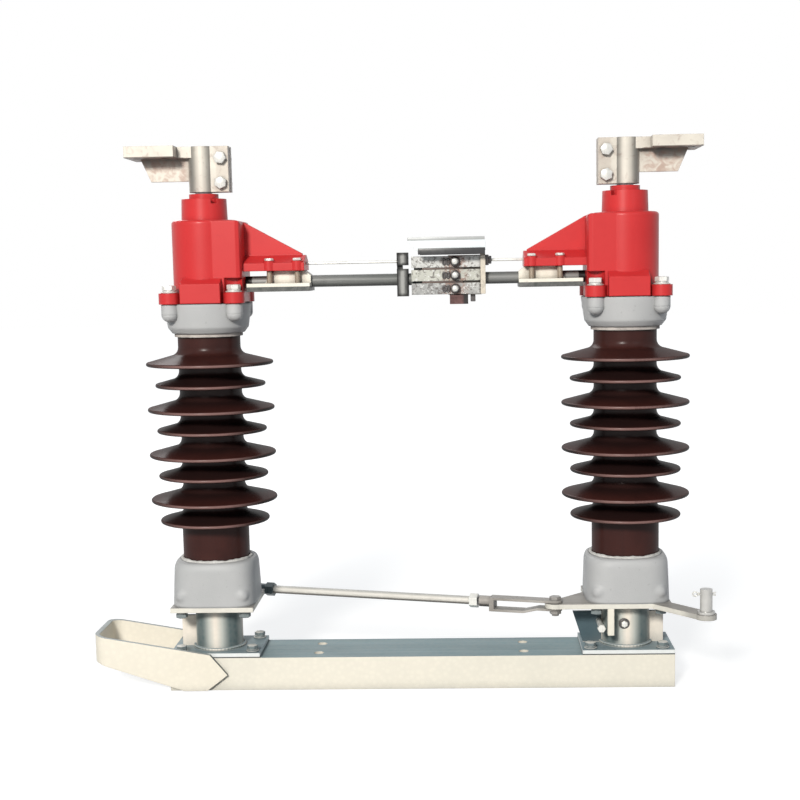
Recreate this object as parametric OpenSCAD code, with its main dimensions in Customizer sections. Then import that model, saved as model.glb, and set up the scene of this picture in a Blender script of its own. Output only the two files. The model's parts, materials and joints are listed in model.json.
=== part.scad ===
// One pole of a two-column, centre-break disconnect switch, drawn closed.
// Millimetres, +Z up. X runs along the base, +Y points to the back, and the
// origin is the middle of the base's underside.
// A column's own frame has x pointing outward, away from the other column.

/* [Base] */
// Distance between the two column axes
column_spacing = 600; // [560:5:700]
// Width of the base channel
base_w = 100; // [100:1:110]
// Height of the base channel
base_h = 48; // [44:1:60]
// Thickness of the channel's web
web_t = 5.5; // [4:0.5:8]
// Thickness of the channel's flanges
flange_t = 8; // [6:0.5:12]
// Radius between web and flange inside the channel
channel_fillet = 8; // [4:1:10]
// Length of the base beyond each column axis
base_overhang = 66; // [62:1:72]
// Distance of the fixing holes from the base's middle
fixing_x = 150; // [120:5:180]
// Distance of the fixing holes from the base's centre line
fixing_y = 25; // [18:1:28]
// Radius of the fixing holes
fixing_r = 7; // [5:0.5:8]

/* [Bearings] */
// Half length of a bearing's foot plate
bearing_plate_half = 66; // [60:1:66]
// Thickness of a bearing's foot plate
bearing_plate_t = 7; // [5:0.5:10]
// Outer radius of a bearing housing
housing_r = 34.5; // [30:0.5:36]
// Height of a bearing housing above its plate
housing_h = 58; // [50:1:66]
// Height and spread of the weld at a housing's foot
weld_leg = 4; // [2:0.5:6]
// Reach of the outer rib from the column axis
rib_reach = 55; // [46:1:55]
// Thickness of the ribs and the stop bracket
rib_t = 6; // [4:0.5:8]
// Height that the ribs and bracket stay below the housing's top
rib_drop = 12; // [11:1:20]
// Reach of the stop bracket at its top
bracket_top_reach = 77; // [70:1:80]
// Reach of the stop bracket at its foot
bracket_foot_reach = 62; // [56:1:64]
// Radius of the vertical shafts
shaft_r = 20; // [16:0.5:22]
// Radial running clearance of shafts and pins
run_gap = 0.05; // [0.02:0.01:0.09]
// Height of a shaft's end above the web, at its thrust face
seat_gap = 0.3; // [0.2:0.1:0.5]

/* [Stop] */
// Distance of the stop bolt from the column axis, toward the centre
stop_bolt_x = 39; // [39:0.5:46]
// Height of the stop bolt above the bearing's plate
stop_bolt_z = 32; // [22:1:36]
// Reach of the stop bolt's head in front of the column axis
stop_bolt_reach = 52; // [44:1:56]
// Radius of the stop bolt's shank
stop_shank_r = 4; // [3:0.5:4]
// Radius over the corners of the stop bolt's head
stop_head_r = 6; // [5:0.5:7]
// Thickness of the stop bolt's head
stop_head_t = 7; // [5:0.5:9]
// Clearance between the stop bolt and the lug that meets it
stop_gap = 2; // [1:0.5:3]
// Thickness of the hanging stop lug
lug_t = 9; // [6:0.5:12]
// Depth of the stop lug, front to back
lug_d = 14; // [10:1:18]
// Length of the stop lug below the lever plate
lug_h = 39; // [34:1:42]

/* [Levers] */
// Half width of a lever plate
lever_half = 60; // [58:1:60]
// Thickness of a lever plate
lever_t = 7; // [5:0.5:10]
// Gap between a bearing housing and its lever plate
lever_gap = 5; // [5:0.5:8]
// Long offset of a rod pivot from its column axis
pivot_long = 105; // [102:1:112]
// Short offset of a rod pivot from its column axis
pivot_short = 46; // [46:1:50]
// Radius of a lever's tip round its pivot
tip_r = 15; // [15:0.5:17]
// Half width of a tip's root where it leaves the lever plate
tip_root = 20; // [14:1:28]
// Radius of the pivot bolts
pivot_r = 5; // [4:0.5:6]
// Radius over the corners of a pivot bolt's head and nut
pivot_head_r = 8.5; // [7.5:0.5:10]
// Length of a pivot bolt's thread beyond its nut
thread_end = 3; // [1:0.5:5]
// Outward offset of the operating pin from the right column axis
pin_x = 98; // [90:1:106]
// Forward offset of the operating pin from the right column axis
pin_y = 120; // [110:1:130]
// Width of the operating arm
arm_w = 26; // [22:1:28]
// Radius of the operating arm's round end
arm_eye_r = 14.5; // [14:0.5:16]
// Radius of the operating pin
pin_r = 8.5; // [7:0.5:10]
// Height of the operating pin above its arm
pin_h = 35; // [28:1:42]
// Radius of the operating pin's foot collar
pin_collar_r = 12; // [11.5:0.5:13]
// Height of the operating pin's foot collar
pin_collar_h = 4; // [2:0.5:6]

/* [Cross rod] */
// Radius of the cross rod's tube
rod_r = 6; // [5:0.5:7.5]
// Length of a fork from its pivot to the end of its socket
fork_l = 112; // [106:1:120]
// Length of a fork's socket
socket_l = 16; // [12:1:20]
// Radius of a fork's socket
socket_r = 8; // [7.5:0.5:10]
// Width of a fork's strips
strip_w = 20; // [16:1:22]
// Thickness of a fork's strips
strip_t = 3.5; // [2.5:0.5:5]
// Thickness of the web that joins a fork's strips
root_t = 7; // [5:0.5:10]
// Clearance between a fork's strips and the lever between them
strip_gap = 0.5; // [0.3:0.1:1]
// Drop of the lower strip's straight stretch
strip_drop = 5; // [3:0.5:6]
// Clearance between a lever's tip and the lower strip's bend
bend_gap = 10; // [6:1:14]
// Length of the lower strip's bend
bend_l = 20; // [14:1:26]
// Length of the hex lock nuts
nut_l = 12; // [8:0.5:14]
// Radius over the corners of the hex lock nuts
nut_r = 10.5; // [9.5:0.5:12]
// Gap at the screwed joint where the linkage is opened
open_gap = 2.5; // [2.5:0.5:4]

/* [Insulators] */
// Height of a lower fitting
lower_fit_h = 64; // [56:1:74]
// Radius of a lower fitting
lower_fit_r = 62; // [60:0.5:63]
// Height of the square foot of a lower fitting
lower_foot_h = 9; // [6:1:14]
// Height over which a lower fitting's corners fade into its round body
corner_fade_h = 43; // [36:1:46]
// Offset of the fitting bolts from the column axis, both ways
bolt_offset = 46; // [44:0.5:47]
// Edge of the lower fitting's foot beyond its bolts
foot_margin = 15; // [14:0.5:16]
// Corner radius of that foot
foot_corner_r = 40; // [34:1:44]
// Radius of the bumps over a lower fitting's bolts
bump_r = 14; // [11:0.5:15]
// Height of the middle of those bumps above the foot
bump_z = 17; // [16:1:26]
// Radius of the rounded shoulder of a lower fitting
shoulder_r = 9; // [4:1:12]
// Porcelain height between the two fittings
insulator_h = 330; // [320:1:350]
// Radius of the porcelain core
core_r = 45; // [42:0.5:46]
// Radius of the plain stem below the sheds
stem_r = 48.5; // [46:0.5:49]
// Height of the lowest shed above the lower fitting
first_shed_h = 57; // [50:1:60]
// Height between two large sheds
shed_pitch = 66; // [64:0.5:68]
// Height of a large shed above the small one below it
shed_step = 31; // [28:0.5:34]
// Number of large sheds, and of small ones
shed_pairs = 4; // [3:1:4]
// Radius of the large sheds
large_shed_r = 91.6; // [86:0.2:96]
// Radius of the small sheds
small_shed_r = 79.4; // [74:0.2:84]
// Thickness of a shed's rim
rim_t = 5.5; // [4:0.5:7]
// Slope of a shed's upper face
upper_slope = 15; // [10:1:20]
// Slope of a shed's lower face
lower_slope = 5; // [2:1:8]
// Radius where a shed's upper face runs into the core
shed_fillet = 12; // [8:1:14]
// Depth of the porcelain in each fitting
socket_depth = 28; // [20:1:30]
// Thickness of the cement round the porcelain's ends
cement_t = 4; // [2:0.5:5]
// Height that the cement stands proud of the upper fitting
cement_lip = 5; // [2:0.5:8]
// Height of an upper fitting
upper_fit_h = 42; // [38:1:50]
// Radius of an upper fitting at its foot
upper_fit_r = 58; // [56:0.5:60]
// Radius of an upper fitting at its top
flare_r = 63; // [61:0.5:64]
// Height of the tapered foot of an upper fitting
taper_h = 8; // [4:1:12]
// Narrowing of an upper fitting's tapered foot
taper_in = 6; // [3:0.5:7]
// Radius of the upper fitting's bolt bosses
upper_boss_r = 12; // [11:0.5:14]
// Height of the upper fitting's bolt bosses
upper_boss_h = 22; // [16:1:26]
// Height of the bevel at the lower end of those bosses
boss_bevel_h = 8; // [4:0.5:12]
// Narrowing of those bosses over that bevel
boss_bevel_in = 6; // [3:0.5:8]

/* [Head housings] */
// Thickness of a head's four lugs
head_lug_t = 16; // [12:1:20]
// Radius of a lug's round end
head_lug_r = 15; // [14:0.5:17]
// Step from a lug's round end in to its straight sides
head_lug_step = 3; // [2.5:0.5:5]
// Radius of a head housing's round body
body_r = 47.5; // [44:0.5:50]
// Reach of a head housing's box toward the centre
box_reach = 57; // [52:0.5:60]
// Set-in of the box's sides from the body's radius
box_set = 3; // [2.5:0.5:8]
// Height of a head housing's body above the upper fitting
body_h = 118; // [106:1:130]
// Radius of a head housing's upper edge
body_round = 5; // [2:0.5:8]
// Drop of the box's top below the body's top
box_drop = 2; // [1.5:0.5:4]
// Size of the rounding on the box's upper edge
box_round = 5; // [3:0.5:6]
// Radius of the box's upright edges
box_edge_r = 7; // [3:0.5:8]
// Space round the head bolts where the box makes way for them
relief_r = 13.5; // [12:0.5:14]
// Height of that space above the lugs
relief_h = 20; // [16:1:26]
// Space between a head's pad and the lugs' round ends
pad_lug_gap = 2.5; // [1.5:0.5:5]
// Reach of those pads from the column axis
pad_reach = 60; // [56:0.5:62]
// Height of those pads
pad_h = 37; // [30:1:42]
// Height of a pad's front below the slope on its top
pad_front_h = 28; // [22:1:29]
// Height of the pads' and the box's undersides above the joint face
pad_rise = 1; // [1:0.5:3]
// Height of the lugs' undersides above the joint face
lug_relief = 0.5; // [0.2:0.1:0.8]
// How far inside the body's radius the pad's slope ends
pad_in = 5; // [4:0.5:8]
// Radius of a head housing's neck
neck_r = 32; // [28:0.5:36]
// Widening of a neck toward its foot
neck_draft = 1; // [0.5:0.5:3]
// Height of a head housing's neck
neck_h = 30; // [24:1:36]
// Radius of the small ring on a neck
ring_r = 21; // [18:0.5:24]
// Height of the small ring on a neck
ring_h = 7; // [4:1:10]
// Width of the notch in a neck's upper edge
notch_w = 9; // [6:0.5:12]
// Depth of that notch below the neck's top
notch_h = 7; // [4:0.5:9]
// Turn of that notch from the arm's direction, toward the front
notch_turn = 54; // [40:1:70]
// Edge of the head's foot beyond its far bosses
foot_end = 2; // [1.5:0.5:4]
// Half depth of a housing's foot
foot_half = 30; // [28:1:34]
// Thickness of a housing's foot along its middle
foot_t = 22; // [18:1:24]
// Thickness of a housing's foot at its edges
foot_edge_t = 11; // [8:0.5:13]
// Thickness of the triangular rib above a foot
arm_rib_t = 10; // [8:0.5:14]
// Height of the rib's top below the body's top
rib_top_drop = 4; // [3:1:14]
// Height of the rib's tip above the foot
rib_tip_h = 2; // [1:0.5:5]
// Distance of the rib's tip from the foot's end
rib_tip_set = 5; // [3:1:12]
// Distance of the inner foot bolts from the column axis
foot_bolt_near = 94; // [88:1:100]
// Distance of the outer foot bolts from the column axis
foot_bolt_far = 134; // [128:1:134]
// Distance of the foot bolts from the arm's centre line
foot_bolt_y = 24; // [22:0.5:24]
// Radius of the bosses round the foot bolts
foot_boss_r = 8.5; // [7.5:0.5:9.5]
// Height of the bosses round the foot bolts
foot_boss_h = 14; // [13:0.5:16]

/* [Arms] */
// Radius of the conductor bars
bar_r = 8.5; // [7:0.5:10]
// Height of the bars' axis above the upper fittings
bar_rise = 29; // [26:0.5:32]
// Gap between a bar and the foot above it
bar_foot_gap = 7; // [5:0.5:9]
// Thickness of the clamp plate under a bar
clamp_t = 11.5; // [9:0.5:14]
// Depth of the clamp plate's top below the bar's axis
clamp_drop = 2; // [1:0.5:4]
// Half depth of the clamp plate
clamp_half = 32; // [28:1:34]
// Space between a head's box and its clamp
clamp_gap = 5; // [5:1:13]
// Distance of the clamp plate's inner end from the column axis
clamp_far = 152; // [148:1:156]
// Distance of the saddle's outer end from the column axis
saddle_near = 86; // [78:1:88]
// Length of the slope at the saddle's outer end
saddle_slope = 14; // [8:1:18]
// Length of the slope at the saddle's inner end
saddle_bevel = 9; // [6:1:14]
// Half depth of the saddle
saddle_half = 16; // [12:1:16]
// Radius of the thin guard rods
guard_r = 2; // [1.5:0.25:3]
// Height of the guard rods above the foot's underside
guard_rise = 10; // [5:0.5:14]

/* [Contacts] */
// Distance of the contact post's centre from the middle, on the left
post_x = 17; // [17:0.5:22]
// Thickness of the contact post
post_t = 16; // [10:0.5:16]
// Depth of the contact post below the finger stack
post_drop = 2; // [0:0.5:4]
// Half depth of the contact post
post_half = 13; // [10:0.5:14]
// Height of the contact post's lower block
post_h = 37; // [30:1:40]
// Height of the contact post's upper block
post_cap_h = 18; // [14:1:20]
// Gap between the two blocks of the contact post
post_slot = 5; // [3:0.5:6]
// Distance of the contact head's axis from the middle, on the right
head_x = 8; // [6:0.5:12]
// Radius of the contact head
head_r = 9; // [8.5:0.25:9.5]
// Side clearance between the contact head and the fingers
finger_gap = 3.5; // [3:0.25:4]
// Thickness of a contact finger
finger_t = 7; // [5:0.5:9]
// Height of a contact finger
finger_h = 16; // [14:0.5:17]
// Height between two fingers
finger_pitch = 19; // [18:0.5:20]
// Height of the finger stack's middle above the bars' axis
stack_rise = 5; // [0:0.5:8]
// Number of finger rows
finger_rows = 3; // [2:1:3]
// Reach of the finger tips past the middle, on the left
finger_reach = 4; // [2:0.5:4]
// Depth of the bent-in grip near a finger's tip
grip_h = 1.5; // [0.5:0.25:1.5]
// Distance of the end plate from the middle
end_plate_x = 94; // [90:1:100]
// Thickness of the end plate
end_plate_t = 7; // [5:0.5:9]
// Half depth of the end plate
end_plate_half = 24; // [22:1:30]
// Length of the carrier block between the fingers
carrier_l = 46; // [40:1:56]
// Distance of the finger springs from the middle
spring_x = 58; // [56:0.5:66]
// Radius of the spring bolts
spring_bolt_r = 3; // [2:0.5:3.5]
// Reach of a spring bolt beyond the fingers
spring_bolt_reach = 14; // [10:1:16]
// Setback of the hung block from the carrier's front
drop_block_set = 2; // [1:0.5:6]
// Length of the block hung under the carrier
drop_block_l = 26; // [20:1:30]
// Height of the block hung under the carrier
drop_block_h = 13; // [8:1:16]
// Half depth of the block hung under the carrier
drop_block_half = 20; // [14:1:24]
// Height of the cover's top above the finger stack
cover_rise = 22; // [20:1:26]
// Depth of the cover's skirts
skirt_h = 15; // [10:1:16]
// Thickness of the cover's sheet
sheet_t = 2; // [1.5:0.25:3]
// Half depth of the cover
cover_half = 42; // [38:1:46]
// Overhang of the cover past the middle, on the left
cover_reach = 10; // [6:1:12]
// Setback of the cover's lower corner from its upper one
cover_slant = 16; // [8:1:18]
// Half depth of the cover's bracket
cover_bracket_half = 10; // [6:1:14]

/* [Terminals] */
// Radius of the terminal studs
stud_r = 12; // [10:0.5:14]
// Depth of a stud in its head housing
stud_depth = 60; // [40:1:70]
// Gap between a head housing's ring and its terminal
terminal_gap = 2.5; // [2:0.5:4]
// Height of a terminal's clamp barrel
barrel_h = 64; // [58:1:72]
// Radius of a terminal's clamp barrel
barrel_r = 20; // [18:0.5:22]
// Reach of the clamp ears toward the centre
ear_reach = 39; // [36:0.5:44]
// Half depth of the clamp ears
ear_half = 15; // [12:0.5:17]
// Width of the slit between the clamp ears
ear_slit = 4; // [2:0.5:6]
// Distance of the pad's inner edge from the column axis
terminal_near = 34; // [30:1:38]
// Distance of the pad's outer edge from the column axis
terminal_far = 104; // [100:1:112]
// Half width of a terminal's pad
terminal_half = 40; // [36:1:46]
// Thickness of a terminal's pad
terminal_t = 16; // [10:1:18]
// Spacing of the pad's holes, both ways
pad_pitch = 40; // [36:1:44]
// Radius of the pad's holes
pad_hole_r = 6.5; // [4.5:0.5:8]
// Thickness of the gusset under a pad
gusset_t = 8; // [6:0.5:12]
// Depth of the gusset under a pad
gusset_h = 32; // [24:1:38]
// Distance of the gusset's upper corner from the column axis
gusset_top_reach = 88; // [82:1:94]
// Distance of the gusset's lower corner from the column axis
gusset_foot_reach = 74; // [66:1:80]

/* [End yoke] */
// Thickness of the yoke's strap
yoke_t = 6.5; // [5:0.5:8]
// Distance of the yoke's web from the left column axis
yoke_reach = 177; // [168:1:190]
// Radius of the yoke's outer corners
yoke_corner_r = 22; // [14:1:30]
// Height of the yoke's web
yoke_web_h = 39; // [32:1:46]
// Height of the yoke's web above the floor
yoke_web_z = 45; // [36:1:50]
// Distance of the yoke's tips past the left column axis
yoke_tip_reach = 19; // [10:1:24]
// Height of the yoke's tips above the floor
yoke_tip_z = 24; // [20:1:28]
// Height of the yoke's lower edge above the floor
yoke_foot_z = 1; // [0.5:0.5:4]
// Distance of the lower edge's near end from the tips
yoke_foot_near = 30; // [26:1:36]
// Distance of the lower edge's far end from the tips
yoke_foot_far = 64; // [56:1:72]
// Distance of the upper edge's lower end from the tips
yoke_shoulder_x = 25; // [20:1:30]
// Height of the upper edge's lower end above the tips
yoke_shoulder_h = 30; // [24:1:34]

/* [Hidden] */
$fn = 96;

// Heights, from the floor up
bearing_top = base_h + bearing_plate_t;
housing_top = bearing_top + housing_h;
lever_bottom = housing_top + lever_gap;
lever_top = lever_bottom + lever_t;
lever_mid = (lever_bottom + lever_top) / 2;
lower_top = lever_top + lower_fit_h;
upper_bottom = lower_top + insulator_h;
upper_top = upper_bottom + upper_fit_h;
lug_inner = bolt_offset - head_lug_r;
box_half = body_r - box_set;
pad_half = lug_inner - pad_lug_gap;
box_h = body_h - box_drop;
foot_reach = foot_bolt_far + foot_boss_r + foot_end;
clamp_near = box_reach + clamp_gap;
body_top = upper_top + body_h;
neck_top = body_top + neck_h;
ring_top = neck_top + ring_h;
terminal_bottom = ring_top + terminal_gap;
terminal_top = terminal_bottom + barrel_h;
bar_z = upper_top + bar_rise;
foot_bottom = bar_z + bar_r + bar_foot_gap;
foot_top = foot_bottom + foot_t;
guard_z = foot_bottom + guard_rise;

// Places along the base
half_spacing = column_spacing / 2;
base_l = column_spacing + 2 * base_overhang;

// The cross rod runs from the left pivot, behind, to the right pivot, in front
rod_dx = column_spacing - pivot_long + pivot_short;
rod_dy = -pivot_short - pivot_long;
rod_len = norm([rod_dx, rod_dy]);
rod_angle = atan2(rod_dy, rod_dx);

// The finger stack sits a little above the bars' axis
finger_y = head_r + finger_gap;
stack_h = finger_h + (finger_rows - 1) * finger_pitch;
stack_bottom = bar_z - stack_h / 2 + stack_rise;
stack_top = stack_bottom + stack_h;
cover_top = stack_top + cover_rise;

// Slant of a lever's tip on its longer side
tip_side = 30;

// Small overlap that makes unions whole
eps = 1;

// Puts a piece drawn in a column's own frame onto that column; side is -1 or 1
module on_column(side) {
    translate([side * half_spacing, 0, 0])
        mirror([side < 0 ? 1 : 0, 0, 0])
            children();
}

// Extrudes an outline drawn in X and Z across Y, centred
module across(depth) {
    rotate([90, 0, 0])
        linear_extrude(height = depth, center = true)
            children();
}

// A square with round corners, drawn with exact arcs
module round_square(half, r) {
    square([2 * half, 2 * (half - r)], center = true);
    square([2 * (half - r), 2 * half], center = true);
    for (x = [-1, 1], y = [-1, 1])
        translate([x * (half - r), y * (half - r)])
            circle(r);
}

// Half of a turned post's section, with a round upper edge
module post_section(r, h, edge) {
    square([r - edge, h]);
    square([r, h - edge]);
    translate([r - edge, h - edge])
        circle(edge);
}

module base_channel() {
    inner_half = base_w / 2 - flange_t;
    color("gainsboro")
        difference() {
            rotate([90, 0, 90])
                linear_extrude(height = base_l, center = true)
                    difference() {
                        translate([-base_w / 2, 0])
                            square([base_w, base_h]);
                        translate([-inner_half, -eps])
                            square([2 * inner_half, base_h - web_t - channel_fillet + eps]);
                        translate([-inner_half + channel_fillet, -eps])
                            square([2 * (inner_half - channel_fillet), base_h - web_t + eps]);
                        for (side = [-1, 1])
                            translate([side * (inner_half - channel_fillet), base_h - web_t - channel_fillet])
                                circle(channel_fillet);
                    }
            for (x = [-fixing_x, fixing_x], y = [-fixing_y, fixing_y])
                translate([x, y, base_h - web_t - eps])
                    cylinder(r = fixing_r, h = web_t + 2 * eps);
        }
}

// Foot plate, bored housing with its weld, and the outer rib
module bearing() {
    difference() {
        union() {
            translate([-bearing_plate_half, -base_w / 2, base_h])
                cube([2 * bearing_plate_half, base_w, bearing_plate_t]);
            translate([0, 0, bearing_top - eps])
                cylinder(r = housing_r, h = housing_h + eps);
            translate([0, 0, bearing_top])
                cylinder(r1 = housing_r + weld_leg, r2 = housing_r, h = weld_leg);
            translate([housing_r - 2 * eps, -rib_t / 2, bearing_top - eps])
                cube([rib_reach - housing_r + 2 * eps, rib_t, housing_h - rib_drop + eps]);
            children();
        }
        translate([0, 0, base_h - eps])
            cylinder(r = shaft_r + run_gap, h = housing_h + bearing_plate_t + 2 * eps);
    }
}

module left_bearing() {
    color("lightsteelblue")
        on_column(-1)
            bearing();
}

module right_bearing() {
    bracket_top = housing_top - rib_drop;
    color("lightsteelblue")
        on_column(1)
            bearing()
                across(rib_t)
                    polygon([
                        [-shaft_r - 2 * run_gap - eps, bearing_top - eps],
                        [-bracket_foot_reach, bearing_top - eps],
                        [-bracket_top_reach, bracket_top],
                        [-shaft_r - 2 * run_gap - eps, bracket_top]
                    ]);
}

module stop_bolt() {
    color("silver")
        translate([half_spacing - stop_bolt_x, -rib_t / 2, bearing_top + stop_bolt_z])
            rotate([90, 0, 0]) {
                cylinder(r = stop_shank_r, h = stop_bolt_reach - rib_t / 2);
                translate([0, 0, stop_bolt_reach - rib_t / 2 - stop_head_t])
                    cylinder(r = stop_head_r, h = stop_head_t, $fn = 6);
            }
}

// U-shaped strap: its plan cut to its side view
module end_yoke() {
    outer_half = base_w / 2 + yoke_t;
    web_x = -half_spacing - yoke_reach;
    tip_x = -half_spacing + yoke_tip_reach;
    color("cornsilk")
        intersection() {
            linear_extrude(height = yoke_web_z + yoke_web_h + eps)
                difference() {
                    union() {
                        translate([web_x + yoke_corner_r, -outer_half])
                            square([tip_x - web_x - yoke_corner_r, 2 * outer_half]);
                        translate([web_x, -outer_half + yoke_corner_r])
                            square([yoke_corner_r + eps, 2 * (outer_half - yoke_corner_r)]);
                        for (side = [-1, 1])
                            translate([web_x + yoke_corner_r, side * (outer_half - yoke_corner_r)])
                                circle(yoke_corner_r);
                    }
                    translate([web_x + yoke_corner_r, -base_w / 2])
                        square([tip_x - web_x, base_w]);
                    translate([web_x + yoke_t, -outer_half + yoke_corner_r])
                        square([yoke_corner_r, 2 * (outer_half - yoke_corner_r)]);
                    for (side = [-1, 1])
                        translate([web_x + yoke_corner_r, side * (outer_half - yoke_corner_r)])
                            circle(yoke_corner_r - yoke_t);
                }
            across(2 * outer_half + eps)
                polygon([
                    [web_x - eps, yoke_web_z + yoke_web_h],
                    [web_x - eps, yoke_web_z],
                    [tip_x - yoke_foot_far, yoke_foot_z],
                    [tip_x - yoke_foot_near, yoke_foot_z],
                    [tip_x, yoke_tip_z],
                    [tip_x - yoke_shoulder_x, yoke_tip_z + yoke_shoulder_h]
                ]);
        }
}

// Lever plate with its pivot tip, which points to -x and lies flush with the -y edge
module lever_plate() {
    // the slanted edge starts inside the round tip
    tip_in = 0.8 * tip_r;
    difference() {
        union() {
            translate([-lever_half, -lever_half, 0])
                cube([2 * lever_half, 2 * lever_half, lever_t]);
            translate([-pivot_long, -pivot_short, 0])
                cylinder(r = tip_r, h = lever_t);
            linear_extrude(height = lever_t)
                polygon([
                    [-lever_half + eps, -lever_half],
                    [-pivot_long, -lever_half],
                    [-pivot_long - tip_in * sin(tip_side), -pivot_short + tip_in * cos(tip_side)],
                    [-lever_half + eps, tip_root]
                ]);
            children();
        }
        translate([-pivot_long, -pivot_short, -eps])
            cylinder(r = pivot_r + run_gap, h = lever_t + 2 * eps);
    }
}

module right_lever() {
    arm_len = norm([pin_x, pin_y]);
    color("whitesmoke")
        translate([half_spacing, 0, lever_bottom])
            lever_plate()
                rotate([0, 0, atan2(-pin_y, pin_x)])
                    union() {
                        translate([0, -arm_w / 2, 0])
                            cube([arm_len, arm_w, lever_t]);
                        translate([arm_len, 0, 0])
                            cylinder(r = arm_eye_r, h = lever_t);
                    }
}

module left_lever() {
    color("whitesmoke")
        translate([-half_spacing, 0, lever_bottom])
            rotate([0, 0, -90])
                lever_plate();
}

module shaft() {
    translate([0, 0, base_h + seat_gap])
        cylinder(r = shaft_r, h = lever_bottom - base_h - seat_gap);
}

module right_shaft() {
    color("darkgray")
        on_column(1)
            shaft();
}

module left_shaft() {
    color("darkgray")
        on_column(-1)
            shaft();
}

module operating_pin() {
    color("silver")
        translate([half_spacing + pin_x, -pin_y, lever_top]) {
            cylinder(r = pin_r, h = pin_h);
            cylinder(r = pin_collar_r, h = pin_collar_h);
        }
}

module stop_lug() {
    lug_x = half_spacing - stop_bolt_x + stop_head_r + stop_gap;
    color("whitesmoke")
        translate([lug_x, -lever_half, lever_bottom - lug_h])
            cube([lug_t, lug_d, lug_h]);
}

// Cast cup: round body with a round shoulder, and a square foot whose corners fade into it
module lower_fitting() {
    foot_half_w = bolt_offset + foot_margin;
    corner_reach = sqrt(2) * (foot_half_w - foot_corner_r) + foot_corner_r;
    difference() {
        union() {
            translate([0, 0, lever_top])
                rotate_extrude()
                    post_section(lower_fit_r, lower_fit_h, shoulder_r);
            translate([0, 0, lever_top])
                intersection() {
                    linear_extrude(height = lower_foot_h + corner_fade_h)
                        round_square(foot_half_w, foot_corner_r);
                    union() {
                        cylinder(r = corner_reach + eps, h = lower_foot_h);
                        translate([0, 0, lower_foot_h])
                            cylinder(r1 = corner_reach + eps, r2 = lower_fit_r - eps, h = corner_fade_h);
                    }
                }
            for (x = [-1, 1], y = [-1, 1])
                translate([x * bolt_offset, y * bolt_offset, lever_top + bump_z])
                    sphere(bump_r);
        }
        translate([0, 0, lower_top - socket_depth])
            cylinder(r = stem_r + cement_t, h = socket_depth + eps);
    }
}

module lower_cement() {
    translate([0, 0, lower_top - socket_depth])
        difference() {
            cylinder(r = stem_r + cement_t, h = socket_depth);
            translate([0, 0, -eps])
                cylinder(r = stem_r, h = socket_depth + 2 * eps);
        }
}

// Half section of one shed, its rim at height 0
module shed_section(r) {
    rim_r = rim_t / 2;
    rim_x = r - rim_r;
    // the fillet circle touches the upper face's slope and the core
    fillet_x = core_r + shed_fillet;
    fillet_z = rim_r + (rim_x - fillet_x) * tan(upper_slope) + shed_fillet / cos(upper_slope);
    touch_x = fillet_x - shed_fillet * sin(upper_slope);
    touch_z = fillet_z - shed_fillet * cos(upper_slope);
    difference() {
        polygon([
            [core_r - eps, fillet_z],
            [fillet_x, fillet_z],
            [touch_x, touch_z],
            [rim_x, rim_r],
            [rim_x, -rim_r],
            [core_r - eps, -rim_r + (rim_x - core_r) * tan(lower_slope)]
        ]);
        translate([fillet_x, fillet_z])
            circle(shed_fillet);
    }
}

module shed(r) {
    rotate_extrude()
        shed_section(r);
    rotate_extrude()
        translate([r - rim_t / 2, 0])
            circle(rim_t / 2);
}

module insulator() {
    top = upper_bottom + socket_depth - cement_t;
    bottom = lower_top - socket_depth;
    first = lower_top + first_shed_h;
    union() {
        translate([0, 0, bottom])
            cylinder(r = core_r, h = top - bottom);
        translate([0, 0, bottom])
            cylinder(r = stem_r, h = first - bottom);
        for (i = [0 : shed_pairs - 1]) {
            translate([0, 0, first + i * shed_pitch])
                shed(small_shed_r);
            translate([0, 0, first + i * shed_pitch + shed_step])
                shed(large_shed_r);
        }
    }
}

module upper_cement() {
    difference() {
        translate([0, 0, upper_bottom - cement_lip])
            cylinder(r = core_r + cement_t, h = socket_depth + cement_lip);
        translate([0, 0, upper_bottom - cement_lip - eps])
            cylinder(r = core_r, h = socket_depth - cement_t + cement_lip + eps);
    }
}

// Cast bowl that widens upward, with four hanging bolt bosses
module upper_fitting() {
    difference() {
        union() {
            translate([0, 0, upper_bottom])
                cylinder(r1 = upper_fit_r - taper_in, r2 = upper_fit_r, h = taper_h);
            translate([0, 0, upper_bottom + taper_h])
                cylinder(r1 = upper_fit_r, r2 = flare_r, h = upper_fit_h - taper_h);
            for (x = [-1, 1], y = [-1, 1])
                translate([x * bolt_offset, y * bolt_offset, upper_top - upper_boss_h]) {
                    cylinder(r1 = upper_boss_r - boss_bevel_in, r2 = upper_boss_r, h = boss_bevel_h);
                    translate([0, 0, boss_bevel_h])
                        cylinder(r = upper_boss_r, h = upper_boss_h - boss_bevel_h);
                }
        }
        translate([0, 0, upper_bottom - eps])
            cylinder(r = core_r + cement_t, h = socket_depth + eps);
    }
}

// Block toward the arm, with its upper and upright inner edges broken in two steps
module box_block() {
    step = 1 - cos(45);
    intersection() {
        across(2 * box_half)
            polygon([
                [0, pad_rise],
                [0, box_h],
                [-box_reach + box_round, box_h],
                [-box_reach + step * box_round, box_h - step * box_round],
                [-box_reach, box_h - box_round],
                [-box_reach, pad_rise]
            ]);
        linear_extrude(height = box_h)
            polygon([
                [0, -box_half],
                [0, box_half],
                [-box_reach + box_edge_r, box_half],
                [-box_reach + step * box_edge_r, box_half - step * box_edge_r],
                [-box_reach, box_half - box_edge_r],
                [-box_reach, -box_half + box_edge_r],
                [-box_reach + step * box_edge_r, -box_half + step * box_edge_r],
                [-box_reach + box_edge_r, -box_half]
            ]);
    }
}

// The block with a round relief over each bolt lug
module head_box() {
    difference() {
        box_block();
        for (y = [-1, 1])
            translate([-bolt_offset, y * bolt_offset, head_lug_t - eps])
                cylinder(r = relief_r, h = relief_h + eps);
    }
}

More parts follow.
